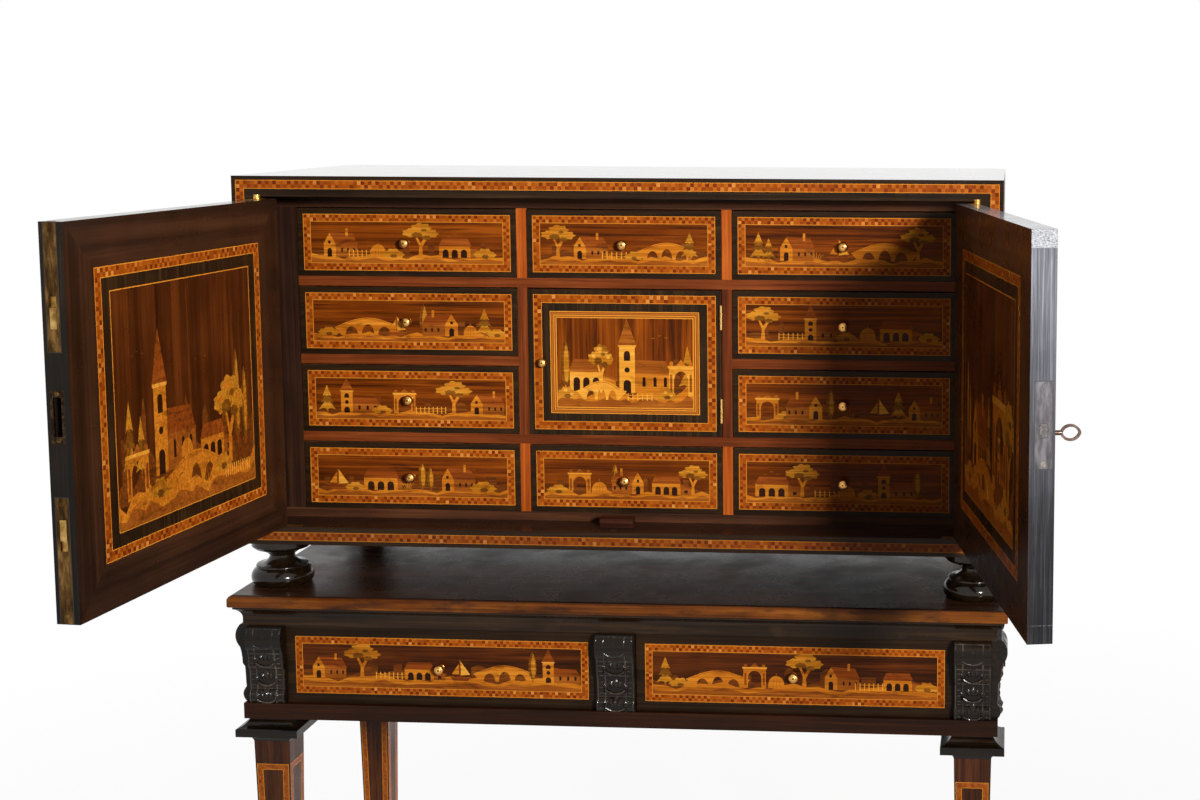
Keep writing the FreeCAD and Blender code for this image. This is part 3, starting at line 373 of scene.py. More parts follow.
def board_finish():
    """The stand's top: dark and polished above, lighter where its nose is worn."""
    recipe = Recipe("stand_board", 0.06, 0.1, 0.16, (0, 0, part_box("stand_top")[1].z))
    top, pores, figure = recipe.timber(BOARD_WOOD, "X", 0.05)
    worn = recipe.over(recipe.noise((0.012, 0.012, 0.05), 4.0, 0.6), 0.45, 0.68, 0.0, 0.8)
    above = recipe.over(recipe.apart()[2], -2.2, -0.3)
    recipe.bumped(pores + figure, 0.12)
    nose = recipe.timber(NOSE_WOOD, "X", 0.12, 5.0)[0]
    colour = recipe.laid(nose, (worn, shade(44, 24, 14)), (above, top))
    return recipe.waxed(colour, 0.16, 0.42, 0.01, 5.0, 0.6)


def partition_finish():
    """The upright dividers: satinwood in the top and bottom rows, redder between."""
    recipe = Recipe("partition_wood", 0.1)
    warm, pores, figure = recipe.timber(SATINWOOD, "Z", 0.16)
    red = recipe.timber(RED_WOOD, "Z", 0.16, 4.0)[0]
    low, high = (
        (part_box("drawer_left_%d" % under)[1].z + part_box("drawer_left_%d" % over)[0].z) * 500
        for under, over in ((4, 3), (2, 1))
    )
    recipe.bumped(pores, 0.2)
    colour = recipe.banded(recipe.apart()[2], warm, (low, high, red))
    return recipe.painted(colour, recipe.over(figure, 0.4, 0.65, 0.36, 0.48))


def knob_finish(node):
    """Pale brass turned in rings of painted highlight and painted shade about a dark middle."""
    middle, half_x, _ = front_of(node)
    recipe = Recipe("brass_" + node, centre=middle, Metallic=1.0)
    x, _, z = recipe.apart()
    away = recipe.sum("SQRT", x * x + z * z)
    colour = recipe.ramp(
        away / half_x + recipe.noise(0.4) * 0.12,
        shades("70 40 14, 206 146 74, 236 180 104, 140 88 36, 224 166 92, 164 108 50"),
        (0.16, 0.28, 0.5, 0.62, 0.74, 0.98),
    )
    recipe.bumped(recipe.noise(0.8), 0.1, 0.0002)
    return recipe.waxed(colour, 0.26, 0.44, 0.2, 3.0)


dress(board_finish(), "stand_top")
dress(partition_finish(), "nest_partitions")
for node in nodes:
    if "knob" in node:
        dress(knob_finish(node), node)

# Metals
METALS = {
    name: metal(name, shades(tones), *rest)
    for name, tones, *rest in (
        ("brass_old", "120 84 34, 196 150 72, 240 206 132"),
        ("brass_dark", "46 32 16, 84 60 31, 132 100 56", (0.32, 0.5), 0.05, 0.06),
        ("brass_bright", "170 126 56, 226 184 104, 250 226 160", (0.16, 0.34)),
        ("bolt_brass", "96 70 34, 156 120 62, 214 176 108", (0.3, 0.45), 0.05, 0.04),
        ("strike_dark", "26 20 15, 48 36 26, 84 64 44", (0.35, 0.55)),
        ("lock_iron", "44 42 43, 70 67 69, 102 98 100", (0.35, 0.55), 0.05, 0.08),
        ("bolt_iron", "48 46 45, 90 87 86, 140 136 134"),
        ("key_steel", "54 42 36, 98 80 70, 160 138 124", (0.2, 0.4), 0.12, 0.1),
        ("screw_steel", "84 78 72, 128 120 112, 176 168 160", (0.25, 0.45), 0.3, 0.08),
    )
}
dress(METALS["brass_old"], "pivot_plates", "hinge_leaves_left", "hinge_leaves_right")
dress(METALS["brass_bright"], "small_hinge_fixed", "small_hinge_moving")
dress(METALS["strike_dark"], "strike_plate")
dress(METALS["bolt_brass"], "flush_bolt_top", "flush_bolt_bottom")
dress(METALS["bolt_iron"], "lock_bolt")
dress(METALS["key_steel"], "key")


def plate_finish(name, side, half_long, half_wide, grime, colours, *middles):
    """Plates let into a door's edge, with grime along their outlines."""
    pivot, turn, _ = DOORS[side]
    recipe = Recipe(name, centre=(*pivot, 0), turn=turn, Metallic=1.0)
    _, y, z = recipe.apart()
    depth = functools.reduce(most, [
        rectangle_depth(y - PLATE_MIDDLE, z - middle * 1000, half_wide, half_long)
        for middle in middles
    ])
    cloud = recipe.noise((0.14, 0.14, 0.035), 5.0, 0.6)
    recipe.gloss("Metallic", recipe.over(depth, 0.3, 1.5))
    recipe.bumped(recipe.noise(0.7), 0.08, 0.0002)
    colour = recipe.laid(recipe.ramp(cloud, colours), (recipe.over(depth, 1.5, 0.3), grime))
    return recipe.painted(colour, recipe.over(cloud, 0.3, 0.7, 0.5, 0.32))


dress(plate_finish(
    "lock_plate", "right", 48.5, 10.75, shade(18, 16, 15),
    shades("50 48 49, 76 73 75, 112 108 110"), lock_level,
), "lock")
dress(plate_finish(
    "bolt_plates", "left", 72.5, 8.5, shade(24, 16, 8),
    shades("52 36 18, 90 64 33, 136 102 58"), door_top - 0.0725, door_foot + 0.0725,
), "bolt_plates")


def case_finish():
    """The case's boards: a banded front edge and banded veneer outside, plain within."""
    middle = ((case_low.x + case_high.x) / 2, case_front, (case_base + case_high.z) / 2)
    recipe = Recipe("case_veneer", 0.12, centre=middle)
    x, y, z = recipe.apart()
    half_x = (case_high.x - case_low.x) * 500
    half_y = (case_high.y - case_low.y) * 500
    half_z = (case_high.z - case_base) * 500
    edge, margin = 5.6, 46
    dark, pores = recipe.ebonised("X")
    field = (x, z, half_x - edge, half_z - edge)
    front = recipe.banded(
        rectangle_depth(*field), dark, *recipe.banding(field, 0.0, 0.9, 12.0, 2.0)
    )
    # painted shade: the front darkens from its middle down to its foot
    front = recipe.laid(front, (recipe.over(z, 0, -half_z, 0.0, 0.4), shade(34, 16, 6)))
    field = (y - half_y, z, half_y - margin, half_z - margin)
    side = recipe.banded(
        rectangle_depth(*field), recipe.timber(DOOR_WOOD, "Z", 0.05, 7.0)[0],
        *recipe.banding(field, 0.0, 0.9, 13.0, 5.0), (27.0, 28.4, STRINGING),
    )
    roof = recipe.banded(
        rectangle_depth(x, y - half_y, half_x - margin, half_y - margin),
        recipe.timber(DOOR_WOOD, "X", 0.05, 9.0)[0],
        (0.0, 1.4, STRINGING), (13.0, 14.4, STRINGING),
    )
    inside = shades("30 18 12, 48 30 21, 66 42 29")
    colour = recipe.laid(
        recipe.timber(inside, "X", 0.1, 1.0)[0], (abs(x) > half_x - SKIN, side),
        (z > half_z - SKIN, roof), (y < SKIN, front),
    )
    recipe.bumped(pores, 0.2)
    # the roof keeps the thickest polish
    recipe.gloss("Coat Weight", recipe.over(z, half_z - 0.4, half_z - 0.1))
    return recipe.waxed(colour, 0.26, 0.42)


dress(case_finish(), "case_top", "case_bottom", "case_sides")

# Drawer fronts of the nest, each with its own cut of veneer
for number, node in enumerate(sorted(n for n in nodes if n.startswith("drawer_"))):
    _, half_x, half_z = front_of(node)
    dress(drawer_finish(
        node, "front_" + node[7:], ROSEWOOD, None, (half_x - 7.6, half_z - 7.6), 0.0, 11.2,
        11.0 * number,
    ), node)

# Frieze drawers: their banding sits low in a brown border
for number, node in enumerate(("stand_drawer_left", "stand_drawer_right")):
    dress(drawer_finish(
        node, "front_" + node, DARK_ROSEWOOD, FRIEZE_WOOD, (206.0, 40.6), -0.2, 10.6,
        31.0 + number,
    ), node)


def small_door_finish():
    """The middle door: chequer band, dark mitred band and a frame of gold lines."""
    middle, half_x, half_z = front_of("small_door")
    recipe = Recipe("small_door_front", 0.08, centre=middle)
    x, y, z = recipe.apart()
    field = (x, z, half_x, half_z)
    depth = rectangle_depth(*field)
    wood, pores, figure = recipe.timber(ROSEWOOD, "Z", 0.09, 3.0, 0.8)
    dark = recipe.ebonised()[0]
    edges = (30.4, 31.6, 32.4, 34.6, 35.4, 36.8, 37.6, 38.6, 39.8)
    gold, burl = GOLD_LINE, BURL[2]
    lines = (gold, BAND_DARK, burl, BAND_DARK, gold, BAND_DARK, burl, gold)
    front = recipe.banded(
        depth, wood, (-1.0, 7.2, dark), *recipe.banding(field, 7.2, 0.9, 12.0, 6.0),
        (19.2, 30.4, dark), *zip(edges, edges[1:], lines),
    )
    gaps = seams(depth, 7.2, 19.2, 30.4, 39.8)
    recipe.bumped(pores * 0.3 - gaps * 0.6, 0.25)
    colour = recipe.laid(recipe.timber(RED_WOOD, "Z", 0.1, 2.0)[0], (y < SKIN, front))
    return recipe.painted(colour, recipe.over(figure, 0.4, 0.65, 0.3, 0.44))


dress(small_door_finish(), "small_door")


def door_finish(side, edge_colours, edge_sheen_colours, edge_sheen_share, end_colours):
    """A door in its own frame: banded inside and outside, with edges painted paler above as a
    painted sheen.
    """
    name = "door_" + side
    pivot, turn, way = DOORS[side]
    low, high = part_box(name)
    half_z = (high.z - low.z) * 500
    half_x = (DOOR_FAR - DOOR_NEAR) / 2
    border, clamp = 55.4, 20
    recipe = Recipe(name + "_veneer", 0.12, 0.04, 0.08, (*pivot, (low.z + high.z) / 2), turn)
    x, y, z = recipe.apart()
    x = x - way * (DOOR_NEAR + DOOR_FAR) / 2
    field = (x, z, half_x, half_z)
    depth = rectangle_depth(*field)
    plain, pores, _ = recipe.timber(DOOR_WOOD, "Z", 0.045, 2.0)
    ground = recipe.timber(DARK_ROSEWOOD, "Z", 0.06, 6.0, 0.6)[0]
    inside = recipe.banded(
        depth, ground, (-1.0, border, plain), *recipe.banding(field, border, 1.2, 13.2, 3.0),
        (68.6, 84.0, recipe.ebonised()[0]), (84.0, 85.4, STRINGING),
    )
    outside = recipe.banded(
        depth, ground, (-1.0, 40.0, plain), *recipe.banding(field, 40.0, 1.0, 13.2, 8.0)
    )
    # crossbanding: the grain of the top and bottom borders lies level
    above, beside = half_z - abs(z), half_x - abs(x)
    level = recipe.timber(DOOR_WOOD, "X", 0.045, 12.0)[0]
    inside = recipe.laid(inside, ((above < beside) * (depth < border), level))
    edge, edge_pores, _ = recipe.timber(edge_colours, "Z", 0.35, 4.0)
    sheen_edge = recipe.timber(edge_sheen_colours, "Z", 0.3, 8.0)[0]
    # the end grain of the clamped rails shows in the edge, above and below a joint
    hatch = recipe.noise((0.6, 0.6, 1.6), 2.0, 0.5, 1.5)
    joint = abs(above - 20.6) < 0.5
    broken = recipe.over(recipe.noise(0.3), 0.4, 0.62, 0.05, 0.75)
    on_top = recipe.over(z, half_z - 0.4, half_z - 0.1)
    # painted sheen: the edge grows paler from below its middle up to its top, and the door's top
    # face takes the same pale colour
    edge = recipe.laid(
        edge, (recipe.over(z, -150, half_z, 0.0, edge_sheen_share), sheen_edge),
        (z > half_z - clamp, recipe.ramp(hatch, end_colours, (0.42, 0.5, 0.56))),
        (joint * broken, edge_sheen_colours[1]), (on_top, sheen_edge),
    )
    recipe.gloss("Coat Weight", recipe.over(on_top, 0.0, 1.0, 0.04, 0.7))
    recipe.bumped(pores + edge_pores, 0.2)
    colour = recipe.laid(edge, (y > DOOR_THICK - SKIN, inside), (y < SKIN, outside))
    return recipe.waxed(colour, 0.24, 0.42)


dress(door_finish(
    "left", shades("10 7 4, 18 13 8, 34 25 16"),
    shades("24 18 12, 42 32 23, 92 72 50"), 0.4,
    shades("12 9 6, 26 20 14, 54 42 30"),
), "door_left")
# the right door's edge, its sheen and its end grain are painted in greys, a painted reflection of
# the light on the ebonised wood
dress(door_finish(
    "right", shades("22 21 22, 37 36 38, 66 65 69"),
    shades("80 80 86, 116 117 125, 166 166 175"), 0.85,
    shades("112 112 116, 160 160 164, 206 206 210"),
), "door_right")


def leg_finish():
    """Tapered legs: dark above, and below the knee a banded panel on every face."""
    recipe = Recipe("leg_veneer", 0.12, 0.04, 0.1)
    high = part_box("legs")[1]
    x, y, z = recipe.apart()
    knee, toe = 25.25, 14.0
    panel_foot, panel_top = 30.0, 613.0
    half = z * ((knee - toe) / (high.z * 1000)) + toe
    u = abs(abs(x) - (high.x * 1000 - knee))
    v = abs(abs(y) - (high.y * 1000 - knee))
    depth = least(half - least(u, v) - 2.0, least(panel_top - z, z - panel_foot))
    dark, pores, _ = recipe.timber(shades("34 16 8, 62 31 15, 92 50 27"), "Z", 0.12)
    inner = shades("34 15 5, 66 32 12, 98 52 22")
    burl = recipe.ramp(recipe.noise(0.2, 5.0, 0.65, 0.8), BURL)
    recipe.bumped(pores, 0.2)
    colour = recipe.banded(
        depth, recipe.timber(inner, "Z", 0.2, 9.0, 0.6)[0], (-900.0, 0.0, dark),
        (0.0, 0.8, STRINGING), (0.8, 7.6, burl), (7.6, 8.4, STRINGING),
    )
    return recipe.waxed(colour, 0.24, 0.42)


dress(leg_finish(), "legs")

# Marquetry pictures: flat shapes of veneer laid in thin layers, in millimetres about the
# middle of their field, u to the right and v up
TONES = {
    "pale": "206 126 34, 236 158 50, 250 182 76",
    "gold": "158 82 14, 202 116 26, 228 144 42",
    "amber": "114 56 12, 156 81 21, 186 106 34",
    "russet": "98 42 9, 140 64 16, 168 86 26",
    "green": "142 80 12, 192 120 26, 224 154 50",
    "moss": "86 44 7, 122 70 15, 152 95 26",
    "ink": "28 12 5, 42 19 7, 60 29 11",
    "umber": "78 36 9, 112 55 14, 140 75 24",
}


def veneer_shade(name, colours):
    """Veneer of one tone, scorched in places as it is shaded in hot sand."""
    recipe = Recipe("veneer_" + name, 0.08)
    colour, pores, figure = recipe.timber(colours, "X", 0.22, 17.0)
    scorch = recipe.noise((0.028, 0.028, 0.09), 4.0, 0.6, 0.6)
    burnt = tuple(c * 0.55 for c in colours[0][:3]) + (1.0,)
    colour = recipe.laid(colour, (recipe.over(scorch, 0.52, 0.72, 0.0, 0.7), burnt))
    recipe.bumped(pores, 0.2, 0.0002)
    return recipe.painted(colour, recipe.over(figure, 0.4, 0.65, 0.32, 0.46))


VENEERS = {name: veneer_shade(name, shades(tones)) for name, tones in TONES.items()}
TONE_ORDER = list(VENEERS)


def at(wide, high, *shares):
    """Points given in shares of a width and a height."""
    return [(wide * x, high * y) for x, y in shares]


def arc(cx, cy, rx, ry, start, end, steps):
    angles = [math.radians(start + (end - start) * n / steps) for n in range(steps + 1)]
    return [(cx + rx * math.cos(angle), cy + ry * math.sin(angle)) for angle in angles]


def block(x, y, wide, high):
    return [(x, y), (x + wide, y), (x + wide, y + high), (x, y + high)]


def arched(x, y, wide, high):
    """A doorway with a round head."""
    half = wide / 2
    return [(x, y), (x + wide, y)] + arc(x + half, y + high - half, half, half, 0, 180, 7)


def stroke(points, width):
    """A thin strip along a line."""
    left, right = [], []
    for n, (x, y) in enumerate(points):
        ahead = points[min(n + 1, len(points) - 1)]
        behind = points[max(n - 1, 0)]
        dx, dy = ahead[0] - behind[0], ahead[1] - behind[1]
        long = math.hypot(dx, dy) or 1.0
        nx, ny = -dy / long * width / 2, dx / long * width / 2
        left.append((x + nx, y + ny))
        right.append((x - nx, y - ny))
    return left + right[::-1]


def tufts(wide, high, tall, lobes, chance, *places):
    """Lobed outlines of leaves, each at a place, in a size and of a tone."""
    shapes = []
    for dx, dy, size, tone in places:
        cx, cy, rx, ry = wide * dx, high * dy, wide * size, high * size * tall
        outline = []
        for n in range(lobes * 4):
            angle = 2 * math.pi * n / (lobes * 4)
            reach = 1 + 0.13 * math.cos(lobes * angle) + chance.uniform(-0.05, 0.05)
            outline.append((cx + rx * reach * math.cos(angle), cy + ry * reach * math.sin(angle)))
        shapes.append((tone, outline))
    return shapes


def cottage(wide, high, chance):
    end, eaves = wide * 0.36, high * 0.56
    return [
        ("amber", [(end, 0), (wide, 0), (wide, eaves * 0.92), (end, eaves)]),
        ("gold", [(0, 0), (end, 0), (end, eaves), (end / 2, high), (0, eaves)]),
        ("russet", [(end / 2, high * 1.03), (wide - end * 0.35, high * 0.97),
                    (wide + high * 0.05, eaves * 0.86), (end * 0.98, eaves * 0.96)]),
        ("gold", block(wide * 0.66, high * 0.86, wide * 0.07, high * 0.32)),
        ("ink", arched(end * 0.3, 0, end * 0.38, eaves * 0.66)),
        ("ink", block(end * 0.38, eaves * 0.98, end * 0.2, high * 0.13)),
    ] + [
        ("ink", block(wide * share, eaves * 0.36, wide * 0.055, eaves * 0.3))
        for share in (0.52, 0.7, 0.88)
    ]


def chapel(wide, high, chance):
    """A nave with a slender steeple."""
    nave, tower = high * 0.42, wide * 0.3
    return [
        ("gold", block(0, 0, tower, high * 0.62)),
        ("amber", [(tower, 0), (wide, 0), (wide, nave * 0.62), (tower, nave * 0.66)]),
        ("russet", [(tower, nave * 0.62), (wide + 1, nave * 0.58),
                    (wide - tower * 0.4, nave), (tower, nave * 1.04)]),
        ("russet", at(tower, high, (-0.1, 0.62), (1.1, 0.62), (0.5, 1))),
        ("pale", block(-tower * 0.08, high * 0.6, tower * 1.16, high * 0.025)),
        ("ink", arched(tower * 0.3, high * 0.42, tower * 0.4, high * 0.13)),
        ("ink", arched(tower * 0.26, 0, tower * 0.48, high * 0.17)),
        ("ink", arc(tower / 2, high * 0.3, tower * 0.17, tower * 0.17, 0, 330, 11)),
    ] + [
        ("ink", arched(tower + (wide - tower) * share, nave * 0.2, wide * 0.06, nave * 0.3))
        for share in (0.2, 0.5, 0.78)
    ]


def bridge(wide, high, chance):
    """A humped bridge on round arches."""
    arches = 3 if wide > 45 else 2
    pier = wide * 0.07
    opening = (wide - pier * (arches + 1)) / arches
    outline = [(0, 0)]
    for number in range(arches):
        left = pier + number * (opening + pier)
        rise = high * (0.62 if number == arches // 2 and arches == 3 else 0.5)
        outline.append((left, 0))
        outline += arc(left + opening / 2, 0, opening / 2, rise, 180, 0, 9)
    hump = [0.38 * math.sin(math.pi * n / 8) for n in range(9)]
    outline += [(wide, 0), (wide + high * 0.4, high * 0.45)]
    outline += [(wide * (1 - n / 8), high * (0.62 + hump[n])) for n in range(9)]
    outline += [(-high * 0.4, high * 0.45)]
    rail = [(wide * n / 8, high * (0.55 + hump[n])) for n in range(9)]
    return [("gold", outline), ("russet", stroke(rail, 0.55))]


def boat(wide, high, chance):
    return [
        ("russet", at(wide, high, (0, 0.2), (1, 0.2), (0.84, 0), (0.14, 0))),
        ("amber", stroke(at(wide, high, (0.46, 0.18), (0.46, 1)), 0.7)),
        ("pale", at(wide, high, (0.5, 0.26), (0.95, 0.3), (0.5, 0.94))),
        ("gold", at(wide, high, (0.42, 0.3), (0.08, 0.32), (0.42, 0.82))),
        ("ink", stroke(at(wide, high, (0.06, 0.13), (0.93, 0.13)), 0.45)),
    ]


def cypress(wide, high, chance):
    edge = []
    for n in range(13):
        share = n / 12
        reach = wide / 2 * math.sin(math.pi * min(1, 0.12 + share * 0.9)) ** 0.8
        edge.append((reach * (1 + 0.12 * (-1) ** n), high * (0.1 + 0.9 * share)))
    outline = edge + [(-x, y + high * 0.02) for x, y in edge[-2::-1]]
    return [
        ("amber", block(-wide * 0.07, 0, wide * 0.14, high * 0.16)),
        ("moss", outline),
        ("green", [(x * 0.5 + wide * 0.1, y * 0.86 + high * 0.07) for x, y in outline[::2]]),
    ]


def tree(wide, high, chance):
    """A leaning trunk with two boughs under tufts of leaves."""
    trunk = at(wide, high, (-0.08, 0), (0.07, 0), (0.05, 0.3), (0.26, 0.62), (0.2, 0.64),
               (0, 0.42), (-0.16, 0.68), (-0.21, 0.66), (-0.05, 0.34))
    return [("gold", trunk)] + tufts(
        wide, high, 0.42, 7, chance,
        (-0.3, 0.72, 0.3, "green"), (0.3, 0.7, 0.3, "green"), (0.02, 0.86, 0.34, "green"),
        (-0.12, 0.66, 0.18, "moss"), (0.2, 0.58, 0.15, "moss"), (-0.06, 0.9, 0.13, "gold"),
        (0.36, 0.74, 0.09, "gold"), (-0.34, 0.76, 0.1, "gold"), (0.12, 0.8, 0.1, "moss"),
    )


def bush(wide, high, chance):
    return tufts(
        wide, high, 1.15, 6, chance,
        (0.25, 0.3, 0.28, "green"), (0.72, 0.26, 0.26, "green"), (0.48, 0.52, 0.3, "green"),
        (0.4, 0.6, 0.1, "gold"), (0.7, 0.32, 0.09, "gold"), (0.5, 0.14, 0.16, "moss"),
    )


def fir(wide, high, chance):
    shapes = [("amber", block(-wide * 0.06, 0, wide * 0.12, high * 0.2))]
    for level, size, tone in ((0.12, 1.0, "green"), (0.36, 0.78, "moss"), (0.6, 0.52, "green")):
        shapes.append((tone, at(
            wide / 2 * size, high, (-1, level), (-0.4, level + 0.04), (0, level),
            (0.4, level + 0.04), (1, level), (0, level + 0.4),
        )))
    return shapes


def haystack(wide, high, chance):
    outline = [(0, 0), (wide, 0)] + arc(wide / 2, high * 0.35, wide * 0.48, high * 0.65, 0, 180, 9)
    shapes = [("gold", outline)]
    for foot, head, top in ((0.3, 0.38, 0.7), (0.52, 0.53, 0.8), (0.74, 0.68, 0.65)):
        shapes.append(("russet", stroke(at(wide, high, (foot, 0.1), (head, top)), 0.4)))
    return shapes + [("amber", stroke(at(wide, high, (0.5, 0.9), (0.5, 1.25)), 0.8))]


def fence(wide, high, chance):
    count = max(3, int(wide / 5))
    return [("gold", block(0, high * level, wide, 0.9)) for level in (0.3, 0.7)] + [
        ("pale", block(wide * n / (count - 1) - 0.6, 0, 1.2, high)) for n in range(count)
    ]


def gateway(wide, high, chance):
    """Two piers under a round arch with balls on them."""
    pier = wide * 0.2
    opening = arc(wide / 2, high * 0.42, wide / 2 - pier, high * 0.3, 180, 0, 10)
    return [
        ("gold", [(0, 0), (pier, 0)] + opening
         + [(wide - pier, 0), (wide, 0), (wide, high * 0.8), (0, high * 0.8)]),
        ("pale", block(-wide * 0.05, high * 0.8, wide * 1.1, high * 0.07)),
    ] + [
        ("amber", arc(middle, high * 0.93, pier * 0.4, high * 0.07, 0, 340, 10))
        for middle in (pier / 2, wide - pier / 2)
    ] + [
        ("amber", at(wide, high, (0.3, 0.87), (0.7, 0.87), (0.5, 1.05))),
    ] + [
        ("russet", block(left, high * 0.12, pier * 0.5, high * 0.5))
        for left in (pier * 0.2, wide - pier * 0.7)
    ]


def barn(wide, high, chance):
    """A long low building with a lean-to and three bays."""
    eaves = high * 0.6
    return [
        ("gold", block(0, 0, wide * 0.72, eaves)),
        ("amber", at(wide, eaves, (0.72, 0), (1, 0), (1, 0.6), (0.72, 0.86))),
        ("russet", [(-wide * 0.02, eaves), (wide * 0.75, eaves), (wide * 0.66, high),
                    (wide * 0.08, high)]),
        ("russet", at(wide, eaves, (0.71, 0.98), (1.03, 0.62), (1.03, 0.5), (0.71, 0.82))),
    ] + [
        ("ink", arched(wide * share, 0, wide * 0.14, eaves * 0.72)) for share in (0.08, 0.29, 0.5)
    ] + [("ink", block(wide * 0.82, eaves * 0.16, wide * 0.08, eaves * 0.26))]


def grass(wide, high, chance):
    shapes = []
    for n, lean in enumerate((-0.5, -0.25, 0.0, 0.3, 0.55)):
        foot = wide * (0.3 + 0.1 * n)
        bend = [(foot, 0), (foot + lean * wide * 0.25, high * 0.5),
                (foot + lean * wide * 0.7, high * (0.95 - abs(lean) * 0.5))]
        shapes.append(("green", stroke(bend, 0.6)))
    return shapes


def birds(wide, high, chance):
    wings = ((-2.2, 1.1), (-0.9, 1.3), (0, 0), (0.9, 1.4), (2.3, 1.3))
    return [
        ("amber", stroke([(wide * dx + x, high * dy + y) for x, y in wings], 0.5))
        for dx, dy in ((0, 0), (0.45, 0.5), (0.9, 0.1))
    ]


MOTIFS = {
    motif.__name__: motif
    for motif in (cottage, chapel, bridge, boat, cypress, tree, bush, fir, haystack, fence,
                  gateway, barn, grass, birds)
}
BRIGHTER = {"gold": "pale", "amber": "gold", "russet": "amber"}
VENEER_THICK, LOWEST_LAYER, LAYER_STEP = 0.0002, 0.00006, 0.00004


def overlap(one, other):
    return one[0] < other[2] and other[0] < one[2] and one[1] < other[3] and other[1] < one[3]


def far_off(half_u, half_v, land, seed, chance):
    """Low hills and roofs far off, in wood hardly lighter than the ground."""
    foot, high = -half_v + land * 0.7, half_v * 0.42
    hills = [(-half_u, foot - 4), (half_u, foot - 4)]
    for n in range(30, -1, -1):
        wave = 0.5 + 0.3 * math.sin(n * 0.55 + seed) + 0.2 * math.sin(n * 1.3 + seed * 3)
        hills.append((-half_u + 2 * half_u * n / 30, foot + high * wave))
    shapes = [("umber", hills)]
    for n in range(7):
        wide = chance.uniform(0.05, 0.11) * half_u
        left = half_u * (-0.95 + 0.27 * n + chance.uniform(0, 0.12))
        level = -half_v + land * 0.7 + half_v * 0.15
        rise = half_v * chance.uniform(0.3, 0.62)
        roof = rise * chance.choice((1.0, 1.0, 1.3))
        shapes.append(("umber", [(left, level), (left + wide, level), (left + wide, level + rise),
                                 (left + wide / 2, level + roof), (left, level + rise)]))
    return shapes


def near_ground(half_u, half_v, land, seed, chance):
    """Two strips of ground along the foot of the field, with furrows."""
    foot = [(-half_u, -half_v), (half_u, -half_v)]
    top = [
        (
            -half_u + 2 * half_u * n / 24,
            -half_v + land * (
                0.72 + 0.2 * math.sin(n * 0.9 + seed) + 0.14 * math.sin(n * 2.3 + seed * 2)
            ),
        )
        for n in range(25)
    ]
    low = [
        (x, -half_v + (y + half_v) * 0.5 + land * 0.08 * math.sin(n * 1.7 + seed))
        for n, (x, y) in enumerate(top)
    ]
    shapes = [("gold", foot + top[::-1]), ("amber", foot + low[::-1])]
    for n in range(7):
        start = chance.uniform(-half_u * 0.95, half_u * 0.6)
        long = chance.uniform(0.12, 0.36) * half_u
        level = -half_v + land * chance.uniform(0.16, 0.62)
        line = [
            (start + long * k / 5, level + land * 0.06 * math.sin(k * 1.4 + n)) for k in range(6)
        ]
        shapes.append(("russet", stroke(line, 0.5)))
    return shapes


def spline_of(curve, points):
    """A line of straight pieces through points in metres."""
    spline = curve.splines.new("POLY")
    spline.points.add(len(points) - 1)
    for spot, point in zip(spline.points, points):
        spot.co = (*point, 1)
    return spline


def placed(name, data):
    made = bpy.data.objects.new(name, data)
    bpy.context.collection.objects.link(made)
    return made


def joined(name, pieces, smooth=False):
    """Makes the pieces meshes and one object of them."""
    bpy.ops.object.select_all(action="DESELECT")
    for piece in pieces:
        piece.select_set(True)
    bpy.context.view_layer.objects.active = pieces[0]
    bpy.ops.object.convert(target="MESH")
    bpy.ops.object.transform_apply(location=True, rotation=True, scale=True)
    bpy.ops.object.join()
    made = bpy.context.object
    made.name = name
    if smooth:
        bpy.ops.object.shade_smooth_by_angle(angle=math.radians(40))
    bpy.ops.object.select_all(action="DESELECT")
    return made


def lay_picture(name, body, middle, u_way, half_u, half_v, scenery, land, seed, size=1.0,
                bright=False):
    """Cuts the shapes of one picture and lays them on their field.

    The scenery names each motif with its place across, width and height, and where it
    needs them how far it is lifted and the way it faces.
    """
    chance = random.Random(seed)
    shapes = far_off(half_u, half_v, land, seed, chance)
    shapes += near_ground(half_u, half_v, land, seed, chance)
    for words in map(str.split, scenery.split(",")):
        given = [float(word) for word in words[1:]]
        x, wide, high, lift, way = given + [0.0, 1.0][len(given) - 3:]
        foot = -half_v + land * 0.62 + lift
        for tone, points in MOTIFS[words[0]](wide * size, high * size, chance):
            tone = BRIGHTER.get(tone, tone) if bright else tone
            shapes.append((tone, [(x + way * px, foot + py) for px, py in points]))

    # a shape lies one layer above all those that it covers
    laid = []
    for tone, points in shapes:
        points = [
            (min(half_u, max(-half_u, px)), min(half_v, max(-half_v, py)))
            for px, py in points
        ]
        across, up = zip(*points)
        reach = (min(across), min(up), max(across), max(up))
        layer = 1 + max([under for under, _, _, r in laid if overlap(r, reach)], default=-1)
        laid.append((layer, tone, points, reach))

    u = Vector(u_way)
    v = Vector((0, 0, 1))
    out = u.cross(v)
    sheets = []
    for layer in sorted({entry[0] for entry in laid}):
        outline = bpy.data.curves.new("%s_%d" % (name, layer), "CURVE")
        outline.dimensions = "2D"
        outline.fill_mode = "BOTH"
        outline.extrude = VENEER_THICK
        for tone in TONE_ORDER:
            outline.materials.append(VENEERS[tone])
        for level, tone, points, _ in laid:
            if level == layer:
                spline = spline_of(outline, [(px / 1000, py / 1000, 0) for px, py in points])
                spline.use_cyclic_u = True
                spline.material_index = TONE_ORDER.index(tone)
        sheet = placed(outline.name, outline)
        proud = LOWEST_LAYER + LAYER_STEP * layer
        base = Vector(middle) + out * (proud - VENEER_THICK)
        sheet.matrix_world = Matrix.Translation(base) @ Matrix((u, v, out)).transposed().to_4x4()
        sheets.append(sheet)
    picture = joined(name, sheets)
    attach(picture, body)


